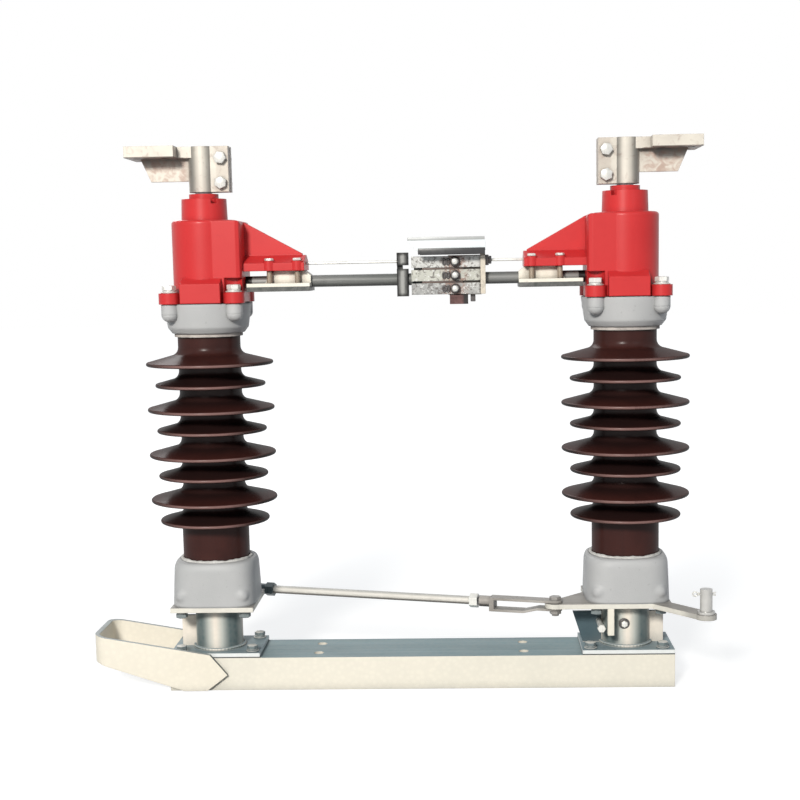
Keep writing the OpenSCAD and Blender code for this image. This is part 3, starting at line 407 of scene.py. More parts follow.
def zinc(name, face, shade, top, sheen=False, bracket=False, painted_shade_end=None, under=None, dull_from=None):
    """Dull galvanised steel: pale spangle, soft streaks, a painted tone of light and shade on top faces and,
    where given, painted shade below.

    sheen paints bands of highlight and shade on a round housing, painted light on its foot plate and a
    painted shadow line where that plate sits on the channel; bracket paints shade on what stands on the
    inner side of the right housing. Along X, beyond the given end, faces that look right get painted shade,
    and the steel is dull beyond dull_from.
    """
    paint = Finish(name, Metallic=0.05, Specular_IOR_Level=0.2)
    patches = paint.noise(9, 5, distortion=0.6)
    streaks = paint.noise(26, 4, (0.25, 1, 1))
    spangle = paint.add("ShaderNodeTexVoronoi", {"Vector": paint.place, "Scale": 130.0}).outputs["Distance"]
    base = paint.mix(paint.spread(patches, 0.42, 0.68), face, shade)
    base = paint.mix(paint.spread(streaks, 0.55, 0.8, 0, 0.5), base, shade)
    if sheen:
        # Painted sheen: bands of highlight and shade on upright faces, by how far they turn between X and Y.
        bands = paint.ramp(paint.slant(), (0.1, (1, 1, 1)), (0.55, (0.62, 0.70, 0.74)),
                           (0.95, (0.13, 0.20, 0.235)))
        base = paint.mix(1.0, base, bands, "MULTIPLY")
        height = paint.at("Z")
        # Painted light on the foot plate, and a painted shadow line where it sits on the channel.
        plate = paint.spread(height, base_top + (plate_t + 0.1) * MM, base_top + (plate_t - 0.1) * MM)
        base = paint.mix(plate, base, (0.86, 0.89, 0.89))
        painted_shadow_line = paint.spread(height, base_top + 2.0 * MM, base_top + 1.4 * MM)
        base = paint.mix(painted_shadow_line, base, (0.05, 0.06, 0.065))
    if dull_from is not None:
        arm = paint.spread(paint.at("X"), dull_from, dull_from + 0.012, 0, 0.75)
        base = paint.mix(arm, base, (0.40, 0.385, 0.365))
    if painted_shade_end is not None:
        # Painted shade on faces that look right, at the yoke's end.
        beyond = paint.spread(paint.at("X"), painted_shade_end, painted_shade_end + 0.002)
        facing = paint.spread(paint.normal("X"), 0.25, 0.4)
        base = paint.mix(paint.times(beyond, facing), base, (0.02, 0.027, 0.03))
    if under is not None:
        # Painted shade on faces that look down.
        base = paint.mix(paint.spread(paint.normal("Z"), -0.15, -0.5), base, under)
    marks = paint.spread(paint.noise(70, 3, (0.02, 1, 1)), 0.5, 0.7, 0, 0.6)
    # Painted light and shade on top faces: the top colour, with darker streaks.
    upper = paint.mix(paint.spread(streaks, 0.3, 0.75), top, tuple(0.78 * c for c in top))
    upper = paint.mix(marks, upper, tuple(0.62 * c for c in top))
    base = paint.mix(paint.up_facing(), base, upper)
    base = paint.mix(paint.spread(spangle, 0.1, 0.6, 0, 0.10), base, tuple(0.6 * c for c in shade))
    if bracket:
        # Painted shade on what stands on the inner side of the right housing, above its foot plate.
        housing_side = half_spacing - housing_r * MM
        plate_top = base_top + plate_t * MM
        inner = paint.spread(paint.at("X"), housing_side, housing_side - 1 * MM)
        above = paint.spread(paint.at("Z"), plate_top, plate_top + 1 * MM)
        base = paint.mix(paint.times(inner, above), base, (0.075, 0.115, 0.135))
    # Painted shade in narrow corners.
    paint.colour(paint.painted_corner_shade(0.02, 0.45, base, (0.16, 0.17, 0.17)))
    paint.roughness(patches, 0.36, 0.55)
    paint.bump(paint.noise(700, 2), 0.25, 0.25)
    return paint.material


def bright_steel(name, colour, metallic=0.25, painted_shade_left=None):
    """Turned or plated steel with fine scratches; where given, the piece on the left gets a painted shade
    colour.
    """
    paint = Finish(name, Metallic=metallic)
    scratch = paint.noise(160, 3, (1, 1, 0.12))
    wear = paint.noise(40, 4)
    base = paint.mix(paint.spread(wear, 0.45, 0.75), colour, tuple(0.72 * c for c in colour))
    if painted_shade_left:
        # Painted shade on the piece on the left.
        base = paint.mix(paint.spread(paint.at("X"), 0.001, -0.001), base, painted_shade_left)
    # Painted shade in narrow corners, round bolt heads.
    paint.colour(paint.painted_corner_shade(0.006, 0.6, base, (0.10, 0.10, 0.10)))
    paint.roughness(scratch, 0.24, 0.42)
    paint.bump(scratch, 0.12, 0.1)
    return paint.material


def grey_paint():
    """Thick grey paint over a sand-cast surface."""
    paint = Finish("grey_paint", Specular_IOR_Level=0.35)
    clouds = paint.noise(14, 4)
    sand = paint.noise(520, 3)
    base = paint.mix(paint.spread(clouds, 0.35, 0.7), (0.515, 0.515, 0.52), (0.455, 0.462, 0.468))
    specks = paint.spread(paint.noise(210, 2), 0.68, 0.74)
    base = paint.mix(paint.times(specks, 0.35), base, (0.33, 0.33, 0.33))
    # Painted shade in narrow corners.
    paint.colour(paint.painted_corner_shade(0.014, 0.6, base, (0.22, 0.23, 0.23)))
    paint.roughness(clouds, 0.40, 0.58)
    paint.bump(paint.math("ADD", sand, paint.times(clouds, 2.0)), 0.35, 0.5, 5)
    return paint.material


def red_paint():
    """Satin red enamel over a casting."""
    paint = Finish("red_enamel", Coat_Weight=0.12, Coat_Roughness=0.22, Specular_IOR_Level=0.25)
    clouds = paint.noise(11, 4)
    peel = paint.noise(430, 2)
    base = paint.mix(paint.spread(clouds, 0.35, 0.7), (0.62, 0.035, 0.036), (0.56, 0.027, 0.029))
    worn = paint.times(paint.spread(paint.noise(95, 5), 0.66, 0.72), 0.25)
    base = paint.mix(worn, base, (0.50, 0.025, 0.03))
    # Painted shade in narrow corners.
    paint.colour(paint.painted_corner_shade(0.012, 0.4, base, (0.20, 0.008, 0.012)))
    paint.roughness(clouds, 0.34, 0.46)
    paint.bump(paint.math("ADD", peel, paint.times(clouds, 1.5)), 0.22, 0.35, 2.2)
    return paint.material


def glaze(side):
    """Brown glazed porcelain: painted shade between the sheds; rims lighter from thin glaze and a painted
    highlight, but for painted shade at their left and right.
    """
    paint = Finish("brown_glaze_" + side, Specular_IOR_Level=0.0, Coat_Weight=0.28, Coat_Roughness=0.28)
    rim_from = 0.058
    from_axis = paint.add("ShaderNodeVectorMath", {
        0: paint.place, 1: (SIDES[side] * half_spacing, 0, 0),
    }, operation="SUBTRACT").outputs[0]
    flat = paint.add("ShaderNodeVectorMath", {0: from_axis, 1: (1, 1, 0)}, operation="MULTIPLY").outputs[0]
    radius = paint.add("ShaderNodeVectorMath", {0: flat}, operation="LENGTH").outputs["Value"]
    clouds = paint.noise(16, 5, distortion=0.8)
    runs = paint.noise(60, 3, (1, 1, 0.15))
    base = paint.mix(paint.spread(clouds, 0.3, 0.7), (0.060, 0.018, 0.0145), (0.040, 0.012, 0.010))
    base = paint.mix(paint.spread(runs, 0.55, 0.8, 0, 0.45), base, (0.030, 0.010, 0.009))
    # Painted shade between the sheds and in other narrow corners.
    base = paint.painted_corner_shade(0.06, 0.8, base, (0.012, 0.008, 0.008))
    # Rim noses: lighter where the glaze thins, with a painted highlight; painted shade on their left and
    # right ends.
    nose = paint.spread(paint.absolute(paint.normal("Z")), 0.75, 0.45)
    rim = paint.times(nose, paint.spread(radius, rim_from, rim_from + 0.004))
    sideways = paint.absolute(paint.normal("X"))
    edge = paint.ramp(sideways, (0.35, (0.22, 0.125, 0.115)), (0.85, (0.014, 0.009, 0.009)))
    base = paint.mix(rim, base, edge)
    specks = paint.spread(paint.noise(420, 2), 0.70, 0.76, 0, 0.5)
    paint.colour(paint.mix(specks, base, (0.016, 0.007, 0.006)))
    paint.roughness(clouds, 0.14, 0.24)
    paint.bump(paint.noise(45, 3), 0.10, 0.6)
    return paint.material


def cement(name, light, dark):
    """Rough mortar with a thin coat of paint over it."""
    paint = Finish(name, Specular_IOR_Level=0.2)
    clouds = paint.noise(55, 5)
    grit = paint.noise(600, 4)
    base = paint.mix(paint.spread(clouds, 0.35, 0.7), light, dark)
    paint.colour(paint.mix(paint.spread(grit, 0.62, 0.7, 0, 0.6), base, (0.25, 0.22, 0.21)))
    paint.roughness(clouds, 0.75, 0.92)
    paint.bump(grit, 0.6, 0.8)
    return paint.material


def cast_metal(name, light, dark, stain, reach=0.012, shade_top=None):
    """Dull cast or tinned metal, blotched and stained, with painted shade in its narrow corners.

    Where shade_top is given, it is the underside of a terminal's pad: the gusset gets a painted shadow just
    below it and is mottled further down, the ear is browner, and painted shade darkens the barrel and other
    faces where they turn half away.
    """
    paint = Finish(name, Metallic=0.05, Specular_IOR_Level=0.25)
    clouds = paint.noise(24, 5, distortion=0.5)
    blotch = paint.noise(70, 5, distortion=1.2)
    grain = paint.noise(600, 2)
    base = paint.mix(paint.spread(clouds, 0.35, 0.68), light, dark)
    base = paint.mix(paint.spread(blotch, 0.56, 0.70, 0, 0.55), base, stain)
    if shade_top is not None:
        pad_shadow_h = 0.010
        gusset_from = half_spacing + 0.021
        ear_from = half_spacing - 0.020
        height = paint.at("Z")
        # Painted shadow of the pad on the gusset, just below it.
        below = paint.times(paint.spread(height, shade_top - pad_shadow_h, shade_top, 0, 0.85),
                            paint.spread(height, shade_top + 0.0012, shade_top + 0.0010))
        out = paint.absolute(paint.at("X"))
        beyond = paint.spread(out, gusset_from, gusset_from + 0.005)
        base = paint.mix(paint.times(below, beyond), base, (0.10, 0.09, 0.085))
        low_down = paint.times(paint.spread(height, shade_top + 0.001, shade_top), beyond)
        mottle = paint.times(low_down, paint.spread(blotch, 0.42, 0.60, 0, 0.6))
        base = paint.mix(mottle, base, (0.46, 0.31, 0.25))
        ear = paint.spread(out, ear_from, ear_from - 0.003)
        base = paint.mix(paint.times(ear, 0.35), base, (0.44, 0.36, 0.31))
        # Painted shade on faces that turn half away.
        bands = paint.ramp(paint.slant(), (0.15, (1, 1, 1)), (0.6, (0.80, 0.80, 0.80)),
                           (1.0, (0.34, 0.35, 0.36)))
        base = paint.mix(1.0, base, bands, "MULTIPLY")
    # Painted shade in narrow corners.
    paint.colour(paint.painted_corner_shade(reach, 0.7, base, tuple(0.25 * c for c in dark)))
    paint.roughness(blotch, 0.34, 0.55)
    paint.bump(paint.math("ADD", grain, blotch), 0.3, 0.35)
    return paint.material


def conductor():
    """Drawn bar, dull and dark, with long marks along it; painted shadow, black, where it enters a head, and
    painted shade below.
    """
    paint = Finish("conductor", Metallic=0.1, Specular_IOR_Level=0.25)
    marks = paint.noise(90, 4, (0.05, 1, 1))
    clouds = paint.noise(30, 4)
    base = paint.mix(paint.spread(marks, 0.35, 0.7), (0.24, 0.24, 0.235), (0.13, 0.135, 0.13))
    base = paint.mix(paint.spread(clouds, 0.58, 0.75, 0, 0.5), base, (0.09, 0.09, 0.085))
    # Painted shadow, black, on the stretch of bar that enters the gap under a head.
    out = paint.absolute(paint.at("X"))
    inside = half_spacing - bar_shadow_end * MM
    base = paint.mix(paint.spread(out, inside, inside + 0.001), base, (0.006, 0.004, 0.004))
    # Painted shade on faces that look down.
    paint.colour(paint.mix(paint.spread(paint.normal("Z"), -0.3, -0.8, 0, 0.7), base, (0.025, 0.025, 0.025)))
    paint.roughness(marks, 0.36, 0.55)
    paint.bump(marks, 0.2, 0.2)
    return paint.material


def clamp_metal():
    """Pale casting on a dark steel strap."""
    paint = Finish("clamp_metal", Specular_IOR_Level=0.25)
    clouds = paint.noise(26, 5, distortion=0.5)
    blotch = paint.noise(75, 5, distortion=1.2)
    base = paint.mix(paint.spread(clouds, 0.35, 0.68), (0.92, 0.88, 0.79), (0.84, 0.80, 0.70))
    base = paint.mix(paint.spread(blotch, 0.60, 0.72, 0, 0.4), base, (0.55, 0.49, 0.42))
    strap = paint.mix(paint.spread(blotch, 0.35, 0.7), (0.075, 0.08, 0.076), (0.16, 0.16, 0.155))
    edge = clamp_bottom + strap_t * MM
    base = paint.mix(paint.spread(paint.at("Z"), edge, edge - 0.0006), base, strap)
    # Painted shade in narrow corners.
    paint.colour(paint.painted_corner_shade(0.012, 0.7, base, (0.12, 0.10, 0.08)))
    paint.roughness(blotch, 0.34, 0.55)
    paint.bump(paint.math("ADD", paint.noise(600, 2), blotch), 0.3, 0.35)
    return paint.material


def finger_metal():
    """Silvered contact metal, tarnished in spots, a paler middle row, painted light on the top row, rusty
    round the springs.
    """
    paint = Finish("finger_metal", Metallic=0.1, Specular_IOR_Level=0.3)
    clouds = paint.noise(60, 5, distortion=0.8)
    blotch = paint.noise(130, 5, distortion=1.5)
    specks = paint.noise(330, 3)
    base = paint.mix(paint.spread(clouds, 0.35, 0.68), (0.47, 0.47, 0.455), (0.27, 0.27, 0.27))
    middle = row_height(1)
    half_row = finger_h / 2 * MM
    from_middle = paint.absolute(paint.math("SUBTRACT", paint.at("Z"), middle))
    middle_row = paint.spread(from_middle, half_row, half_row + 0.002, 0.6, 0.0)
    base = paint.mix(middle_row, base, (0.60, 0.60, 0.52))
    # Painted light on the top row, where the cover's shade falls.
    top_row_painted_light = paint.spread(paint.at("Z"), middle + half_row + 0.001, middle + half_row + 0.003, 0.0, 0.55)
    base = paint.mix(top_row_painted_light, base, (0.72, 0.72, 0.70))
    base = paint.mix(paint.spread(blotch, 0.52, 0.62, 0, 0.8), base, (0.12, 0.105, 0.10))
    from_spring = paint.absolute(paint.math("SUBTRACT", paint.at("X"), spring_x * MM))
    near_spring = paint.spread(from_spring, 0.022, 0.008)
    rust = paint.times(near_spring, paint.spread(blotch, 0.40, 0.55, 0, 0.75))
    base = paint.mix(rust, base, (0.30, 0.16, 0.12))
    base = paint.mix(paint.spread(specks, 0.58, 0.66, 0, 0.65), base, (0.74, 0.74, 0.73))
    # Painted shade in narrow corners.
    paint.colour(paint.painted_corner_shade(0.008, 0.8, base, (0.05, 0.04, 0.04)))
    paint.roughness(blotch, 0.34, 0.55)
    paint.bump(paint.math("ADD", specks, blotch), 0.35, 0.4)
    return paint.material


def post_metal():
    """Dark contact block with a painted highlight down its face, painted shade at its sides and darker bands
    across it.
    """
    paint = Finish("post_metal", Metallic=0.1, Specular_IOR_Level=0.3)
    blotch = paint.noise(110, 5, (1, 1, 0.5), distortion=1.0)
    base = paint.mix(paint.spread(blotch, 0.35, 0.7), (0.15, 0.15, 0.145), (0.06, 0.06, 0.06))
    bottom = low("contact_post")
    top = high("contact_post")
    from_middle = paint.absolute(paint.math("SUBTRACT", paint.at("X"), (bottom.x + top.x) / 2))
    # Painted highlight down the middle of the face.
    painted_highlight_band = paint.spread(from_middle, 0.0015, 0.004, 0.75, 0.0)
    base = paint.mix(painted_highlight_band, base, (0.40, 0.40, 0.385))
    # Painted shade at the sides of the face.
    rim = paint.spread(from_middle, 0.0050, 0.0062)
    base = paint.mix(rim, base, (0.012, 0.012, 0.012))
    share = paint.spread(paint.at("Z"), bottom.z, top.z)
    uneven = paint.math("ADD", share, paint.spread(blotch, 0.3, 0.7, -0.02, 0.02))
    pale = (1, 1, 1)
    dark = (0.16, 0.16, 0.16)
    bands = paint.ramp(uneven, (0.03, dark), (0.09, pale), (0.57, pale), (0.62, dark), (0.74, dark),
                       (0.79, pale), (0.92, pale), (0.97, dark))
    paint.colour(paint.mix(1.0, base, bands, "MULTIPLY"))
    paint.roughness(blotch, 0.4, 0.6)
    paint.bump(blotch, 0.4, 0.4)
    return paint.material


def moulding():
    """Brown moulded block, black at its outer end."""
    paint = Finish("brown_moulding", Specular_IOR_Level=0.3)
    clouds = paint.noise(120, 4)
    base = paint.mix(paint.spread(clouds, 0.35, 0.7), (0.17, 0.085, 0.08), (0.075, 0.035, 0.033))
    end = high("drop_block").x
    outer = paint.spread(paint.at("X"), end - 0.009, end - 0.005)
    paint.colour(paint.mix(outer, base, (0.015, 0.012, 0.012)))
    paint.roughness(clouds, 0.45, 0.65)
    paint.bump(clouds, 0.4, 0.4)
    return paint.material


def bright_sheet(name, light, dark):
    """Brushed sheet metal, with painted shade in its narrow corners."""
    paint = Finish(name, Metallic=0.1, Specular_IOR_Level=0.3)
    brushed = paint.noise(220, 3, (0.06, 1, 1))
    clouds = paint.noise(18, 3)
    base = paint.mix(paint.spread(clouds, 0.35, 0.7), light, dark)
    paint.colour(paint.painted_corner_shade(0.03, 0.5, base, (0.10, 0.11, 0.12)))
    paint.roughness(brushed, 0.28, 0.42)
    paint.bump(brushed, 0.12, 0.15)
    return paint.material


GALVANISED = zinc("galvanised", (0.91, 0.86, 0.75), (0.85, 0.81, 0.71), (0.25, 0.36, 0.39))
# A paler copy of galvanised, painted light for the yoke's inner web in shade; its end faces get painted
# shade.
YOKE_ZINC = zinc("yoke_zinc", (0.93, 0.87, 0.75), (0.89, 0.83, 0.71), (0.46, 0.50, 0.50),
                 painted_shade_end=high("end_yoke").x - yoke_arm * MM)
LEVER_ZINC = zinc("lever_zinc", (0.86, 0.83, 0.75), (0.72, 0.69, 0.63), (0.40, 0.37, 0.34),
                  dull_from=half_spacing + lever_dull_from * MM)
BEARING_ZINC = zinc("bearing_zinc", (0.92, 0.84, 0.74), (0.80, 0.74, 0.66), (0.28, 0.37, 0.41), sheen=True)
# The right bearing's copy, with painted shade on its bracket.
BRACKET_ZINC = zinc("bracket_zinc", (0.92, 0.84, 0.74), (0.80, 0.74, 0.66), (0.28, 0.37, 0.41),
                    sheen=True, bracket=True)
# under paints shade on the faces of the rod and the fork that look down.
ROD_ZINC = zinc("rod_zinc", (0.80, 0.77, 0.72), (0.66, 0.63, 0.58), (0.62, 0.61, 0.58),
                under=(0.22, 0.20, 0.185))
FORK_ZINC = zinc("fork_zinc", (0.50, 0.47, 0.44), (0.26, 0.24, 0.22), (0.50, 0.47, 0.44),
                 under=(0.10, 0.09, 0.085))
# Painted shade: the whole left fork darkened, as it lies in the shade of its column.
SHADE_ZINC = zinc("shade_zinc", (0.22, 0.27, 0.29), (0.14, 0.18, 0.20), (0.34, 0.38, 0.39))
TERMINAL_BOLT = bright_steel("terminal_bolt_steel", (0.68, 0.67, 0.64))
PIVOT_STEEL = bright_steel("pivot_steel", (0.34, 0.32, 0.30))
PIN_STEEL = bright_steel("pin_steel", (0.60, 0.59, 0.57))
# Painted shade on the left rod nut.
NUT_STEEL = bright_steel("rod_nut_steel", (0.86, 0.85, 0.81), painted_shade_left=(0.10, 0.13, 0.14))
# Painted shade on the bolt heads, painted light on their tops.
SHADED_BOLT = zinc("shaded_bolts", (0.30, 0.34, 0.35), (0.16, 0.20, 0.21), (0.86, 0.84, 0.79))
SHAFT = bright_steel("shaft_steel", (0.46, 0.47, 0.48), 0.8)
FASTENER = bright_steel("zinc_fasteners", (0.84, 0.83, 0.79))
DARK_STEEL = bright_steel("dark_fasteners", (0.11, 0.10, 0.10))
GREY = grey_paint()
RED = red_paint()
CEMENT = cement("cement", (0.62, 0.57, 0.53), (0.42, 0.38, 0.36))
RIM_CEMENT = cement("rim_cement", (0.70, 0.69, 0.67), (0.55, 0.54, 0.52))
TERMINAL = cast_metal("terminal_metal", (0.75, 0.70, 0.62), (0.64, 0.59, 0.525), (0.42, 0.33, 0.28),
                      reach=0.02, shade_top=terminal_top - terminal_t * MM)
CLAMP = clamp_metal()
FINGER = finger_metal()
# Black that stands in for the shade under the cover's skirts.
SHADE_STRIP = bright_steel("black_strip", (0.03, 0.03, 0.032), 0.0)
# Dark brown that stands in for the shade round the springs.
CUP_SHADE_STEEL = bright_steel("brown_cups", (0.17, 0.11, 0.09))
SPACER = bright_steel("brown_spacers", (0.11, 0.065, 0.05), 0.0)
SHANK = bright_steel("brown_shanks", (0.36, 0.29, 0.22))
CARRIER = cast_metal("carrier_metal", (0.74, 0.66, 0.55), (0.58, 0.53, 0.46), (0.34, 0.30, 0.26))
POST = post_metal()
CONDUCTOR = conductor()
MOULDING = moulding()
SHEET = bright_sheet("bright_sheet", (0.84, 0.88, 0.90), (0.76, 0.81, 0.84))
LIP = bright_sheet("lip_sheet", (0.52, 0.53, 0.53), (0.42, 0.43, 0.43))
GLAZE = {side: glaze(side) for side in SIDES}

NODE_FINISH = {
    "base_channel": GALVANISED, "end_yoke": YOKE_ZINC, "left_bearing": BEARING_ZINC,
    "right_bearing": BRACKET_ZINC, "stop_bolt": FASTENER, "operating_pin": PIN_STEEL, "stop_lug": GALVANISED,
    "left_fork": SHADE_ZINC, "right_fork": FORK_ZINC, "left_pivot_bolt": FASTENER,
    "right_pivot_bolt": PIVOT_STEEL, "rod_tube": ROD_ZINC, "rod_nuts": NUT_STEEL,
    "finger_carrier": CARRIER, "contact_fingers": FINGER,
    "spring_bolts": FASTENER, "drop_block": MOULDING, "rain_cover": SHEET, "contact_post": POST,
}
for side in SIDES:
    NODE_FINISH.update({
        side + "_lever": LEVER_ZINC, side + "_shaft": SHAFT, side + "_lower_fitting": GREY,
        side + "_lower_cement": GREY, side + "_insulator": GLAZE[side], side + "_upper_cement": CEMENT,
        side + "_upper_fitting": GREY, side + "_head": RED, side + "_clamp": CLAMP, side + "_bar": CONDUCTOR,
        side + "_guard_rod": FASTENER, side + "_stud": SHAFT, side + "_terminal": TERMINAL,
    })
for name, node in frame["nodes"].items():
    node.data.materials.clear()
    node.data.materials.append(NODE_FINISH[name])


# Fasteners, boss ends and welds at each column

def corner_points(side, z):
    """The four bolt places round a column."""
    offsets = (-bolt_offset, bolt_offset)
    return [on_column(side, x, y, z) for x in offsets for y in offsets]


def flange_bolts(side):
    """Bolts that hold a head's flange on the upper fitting."""
    bm = bmesh.new()
    for i, point in enumerate(corner_points(side, fitting_top + flange_t * MM)):
        bolt(bm, point, UP, head_r=10, head_h=7, spin=0.3 + 0.4 * i)
    finish_piece(bm, side + "_flange_bolts", side + "_column", FASTENER)


def lever_bolts(side):
    """Bolts that hold the lower fitting from under the lever."""
    bm = bmesh.new()
    for i, point in enumerate(corner_points(side, lever_bottom)):
        bolt(bm, point, DOWN, head_r=8.5, head_h=6, spin=0.2 + 0.5 * i)
    finish_piece(bm, side + "_lever_bolts", side + "_column", SHADED_BOLT)


def foot_bolts(side):
    """Bolts that press the foot on the clamp: heads above, shanks in the gap."""
    heads = bmesh.new()
    shanks = bmesh.new()
    head_at = (foot_bottom + foot_boss_h) * MM
    clamp_top = clamp_bottom + clamp_t * MM
    gap = foot_bottom - clamp_bottom / MM - clamp_t
    head_r = 6.5
    head_h = 4
    shank_r = 4
    for i, out in enumerate((-94, -134)):
        for j, y in enumerate((-24, 24)):
            hexagon(heads, aim(on_column(side, out, y, head_at), UP, 0.5 * i + 0.7 * j), head_r, head_h)
            threaded(shanks, aim(on_column(side, out, y, clamp_top), UP), shank_r, 0, gap)
    finish_piece(heads, side + "_foot_bolts", side + "_column", FASTENER)
    finish_piece(shanks, side + "_foot_shanks", side + "_column", SHANK)


def terminal_bolts(side):
    """Two bolts across the split clamp."""
    bm = bmesh.new()
    out = -28
    height = terminal_top - terminal_bottom
    for i, share in enumerate((0.2, 0.745)):
        z = terminal_bottom + share * height
        head = aim(on_column(side, out, -ear_half, z), FRONT, 0.4 + 0.5 * i)
        hexagon(bm, head, radius=9, height=8.5)
        nut_and_thread(bm, on_column(side, out, ear_half, z), BACK, head_r=9.5, nut_h=7, shank_r=6, proud=5,
                       spin=0.2 + 0.3 * i)
    finish_piece(bm, side + "_terminal_bolts", side + "_terminal", TERMINAL_BOLT)


def bearing_bolts(side):
    """Bolts that hold a bearing's foot plate on the channel."""
    bm = bmesh.new()
    top = base_top + plate_t * MM
    for i, out in enumerate((-54, 50)):
        for j, y in enumerate((-38, 38)):
            bolt(bm, on_column(side, out, y, top), UP, head_r=8, head_h=5.5, spin=0.6 * i + 0.3 * j)
    finish_piece(bm, side + "_bearing_bolts", "base", SHADED_BOLT)


def boss_domes(side):
    """Rounded ends of the hanging bosses."""
    bm = bmesh.new()
    steps = 10
    radius = 12.04
    drop = 11
    bevel_h = 8
    profile = [(0, 0)]
    for i in range(steps):
        angle = TURN / 4 * i / steps
        profile.append((radius * math.cos(angle), drop * math.sin(angle)))
    profile.append((0, drop))
    for point in corner_points(side, fitting_top - (boss_h - bevel_h) * MM):
        lathe(bm, profile, aim(point, DOWN))
    finish_piece(bm, side + "_boss_domes", side + "_column", GREY, 60)


def housing_weld(side):
    """A rippled bead round the foot of a bearing housing."""
    bm = bmesh.new()
    count = 150
    bead_at = base_top + (plate_t + 1.9) * MM
    bead_reach = housing_r + 2.0
    points = []
    radii = []
    for i in range(count):
        points.append(round_column(side, TURN * i / count, bead_reach, bead_at))
        radii.append((2.3 + 0.25 * math.sin(1.9 * i) + 0.12 * math.sin(0.37 * i)) * MM)
    tube(bm, points, radii, 8, closed=True)
    finish_piece(bm, side + "_housing_weld", "base", BEARING_ZINC, 60)


for side in SIDES:
    flange_bolts(side)
    lever_bolts(side)
    foot_bolts(side)
    terminal_bolts(side)
    bearing_bolts(side)
    boss_domes(side)
    housing_weld(side)


# Contact and linkage details, and the cast feet of the columns

def finger_springs():
    """A coil spring at each end of the spring bolts."""
    bm = bmesh.new()
    coil_r = 5.4
    wire_r = 0.9
    turns = 4.5
    steps = 90
    for matrix in spring_ends():
        points = []
        for i in range(steps + 1):
            angle = TURN * turns * i / steps
            rise = wire_r + (spring_h - 2 * wire_r) * i / steps
            points.append(matrix @ (Vector((coil_r * math.cos(angle), coil_r * math.sin(angle), rise)) * MM))
        tube(bm, points, wire_r * MM, 8)
    finish_piece(bm, "finger_springs", "right_column", DARK_STEEL, 60)


def spring_nuts():
    """Washer and nut on the outer end of each spring."""
    bm = bmesh.new()
    thin_t = 1.0
    for matrix in spring_ends(0.4):
        washer(bm, matrix, radius=4.6, thickness=thin_t, start=spring_h)
        hexagon(bm, matrix, radius=4.0, height=4.0, start=spring_h + thin_t)
    finish_piece(bm, "spring_nuts", "right_column", TERMINAL_BOLT)


def cotter_pin():
    """Split pin through the operating pin's upper end."""
    bm = bmesh.new()
    top = high("operating_pin")
    bottom = low("operating_pin")
    below_top = 7 * MM
    centre = Vector(((top.x + bottom.x) / 2, (top.y + bottom.y) / 2, top.z - below_top))
    reach = 13 * MM
    wire = 1.1 * MM
    splay_from = 0.85
    steps = 8
    for offset in (-1, 1):
        points = []
        for i in range(steps + 1):
            share = i / steps
            splay = max(0, share - splay_from) / (1 - splay_from)
            points.append(centre + Vector((reach * (2 * share - 1), 0, offset * wire * (1 + 0.8 * splay))))
        tube(bm, points, wire, 8)
    eye_r = 3.0 * MM
    eye_centre = centre + Vector((-reach - 2.4 * MM, 0, 0))
    eye_steps = 12
    eye = []
    for i in range(eye_steps + 1):
        angle = math.radians(40 + 280 * i / eye_steps)
        eye.append(eye_centre + Vector((eye_r * math.cos(angle), 0, eye_r * math.sin(angle))))
    tube(bm, eye, wire, 8)
    finish_piece(bm, "cotter_pin", "right_column", FASTENER, 60)


def grease_plug():
    """Hex plug on a dark ring, at the front of the right bearing."""
    aside = 5
    above_base = 42
    front = -math.sqrt(housing_r ** 2 - aside ** 2)
    matrix = aim(on_column("right", -aside, front, base_top + above_base * MM), FRONT, 0.5)
    plug = bmesh.new()
    hexagon(plug, matrix, radius=4.8, height=5, start=1)
    finish_piece(plug, "grease_plug", "base", FASTENER)
    ring = bmesh.new()
    washer(ring, matrix, radius=8, thickness=3.2, start=-2.2)
    finish_piece(ring, "grease_plug_ring", "base", DARK_STEEL)


def spring_cups():
    """A dished washer between each spring and its finger, dark brown as painted shade round the spring."""
    bm = bmesh.new()
    for matrix in spring_ends():
        lathe(bm, [(0, 0), (6.8, 0), (7.2, 0.6), (7.2, 2.6), (6.6, 2.8), (6.2, 1.2), (0, 1.2)], matrix)
    finish_piece(bm, "spring_cups", "right_column", CUP_SHADE_STEEL)


def spring_clips():
    """Two wire loops beside each spring that keep the finger from turning."""
    bm = bmesh.new()
    loop_w = 1.9
    loop_h = 4.2
    wire = 1.2
    proud = 1.0
    steps = 16
    for row in range(finger_rows):
        for way in (FRONT, BACK):
            for back in (10, 15.5):
                loop = []
                for i in range(steps):
                    angle = TURN * i / steps
                    loop.append(Vector((
                        (spring_x - back + loop_w * math.cos(angle)) * MM,
                        way.y * (finger_out + proud * MM),
                        row_height(row) + loop_h * MM * math.sin(angle),
                    )))
                tube(bm, loop, wire * MM, 8, closed=True)
    finish_piece(bm, "spring_clips", "right_column", DARK_STEEL, 60)


def finger_spacers():
    """Dark strips in the two gaps between the rows of fingers, set back from their faces."""
    bm = bmesh.new()
    gap = finger_pitch - finger_h
    set_back = 2.5
    middle_x = 40
    length = 58
    for row in range(1, finger_rows):
        z = stack_bottom + (row * finger_pitch - gap / 2) * MM
        for way in (-1, 1):
            centre = Vector((middle_x * MM, way * (finger_out - set_back * MM), z))
            block(bm, centre, size=(length, 3, gap + 0.4), edge=0.2)
    finish_piece(bm, "finger_spacers", "right_column", SPACER)


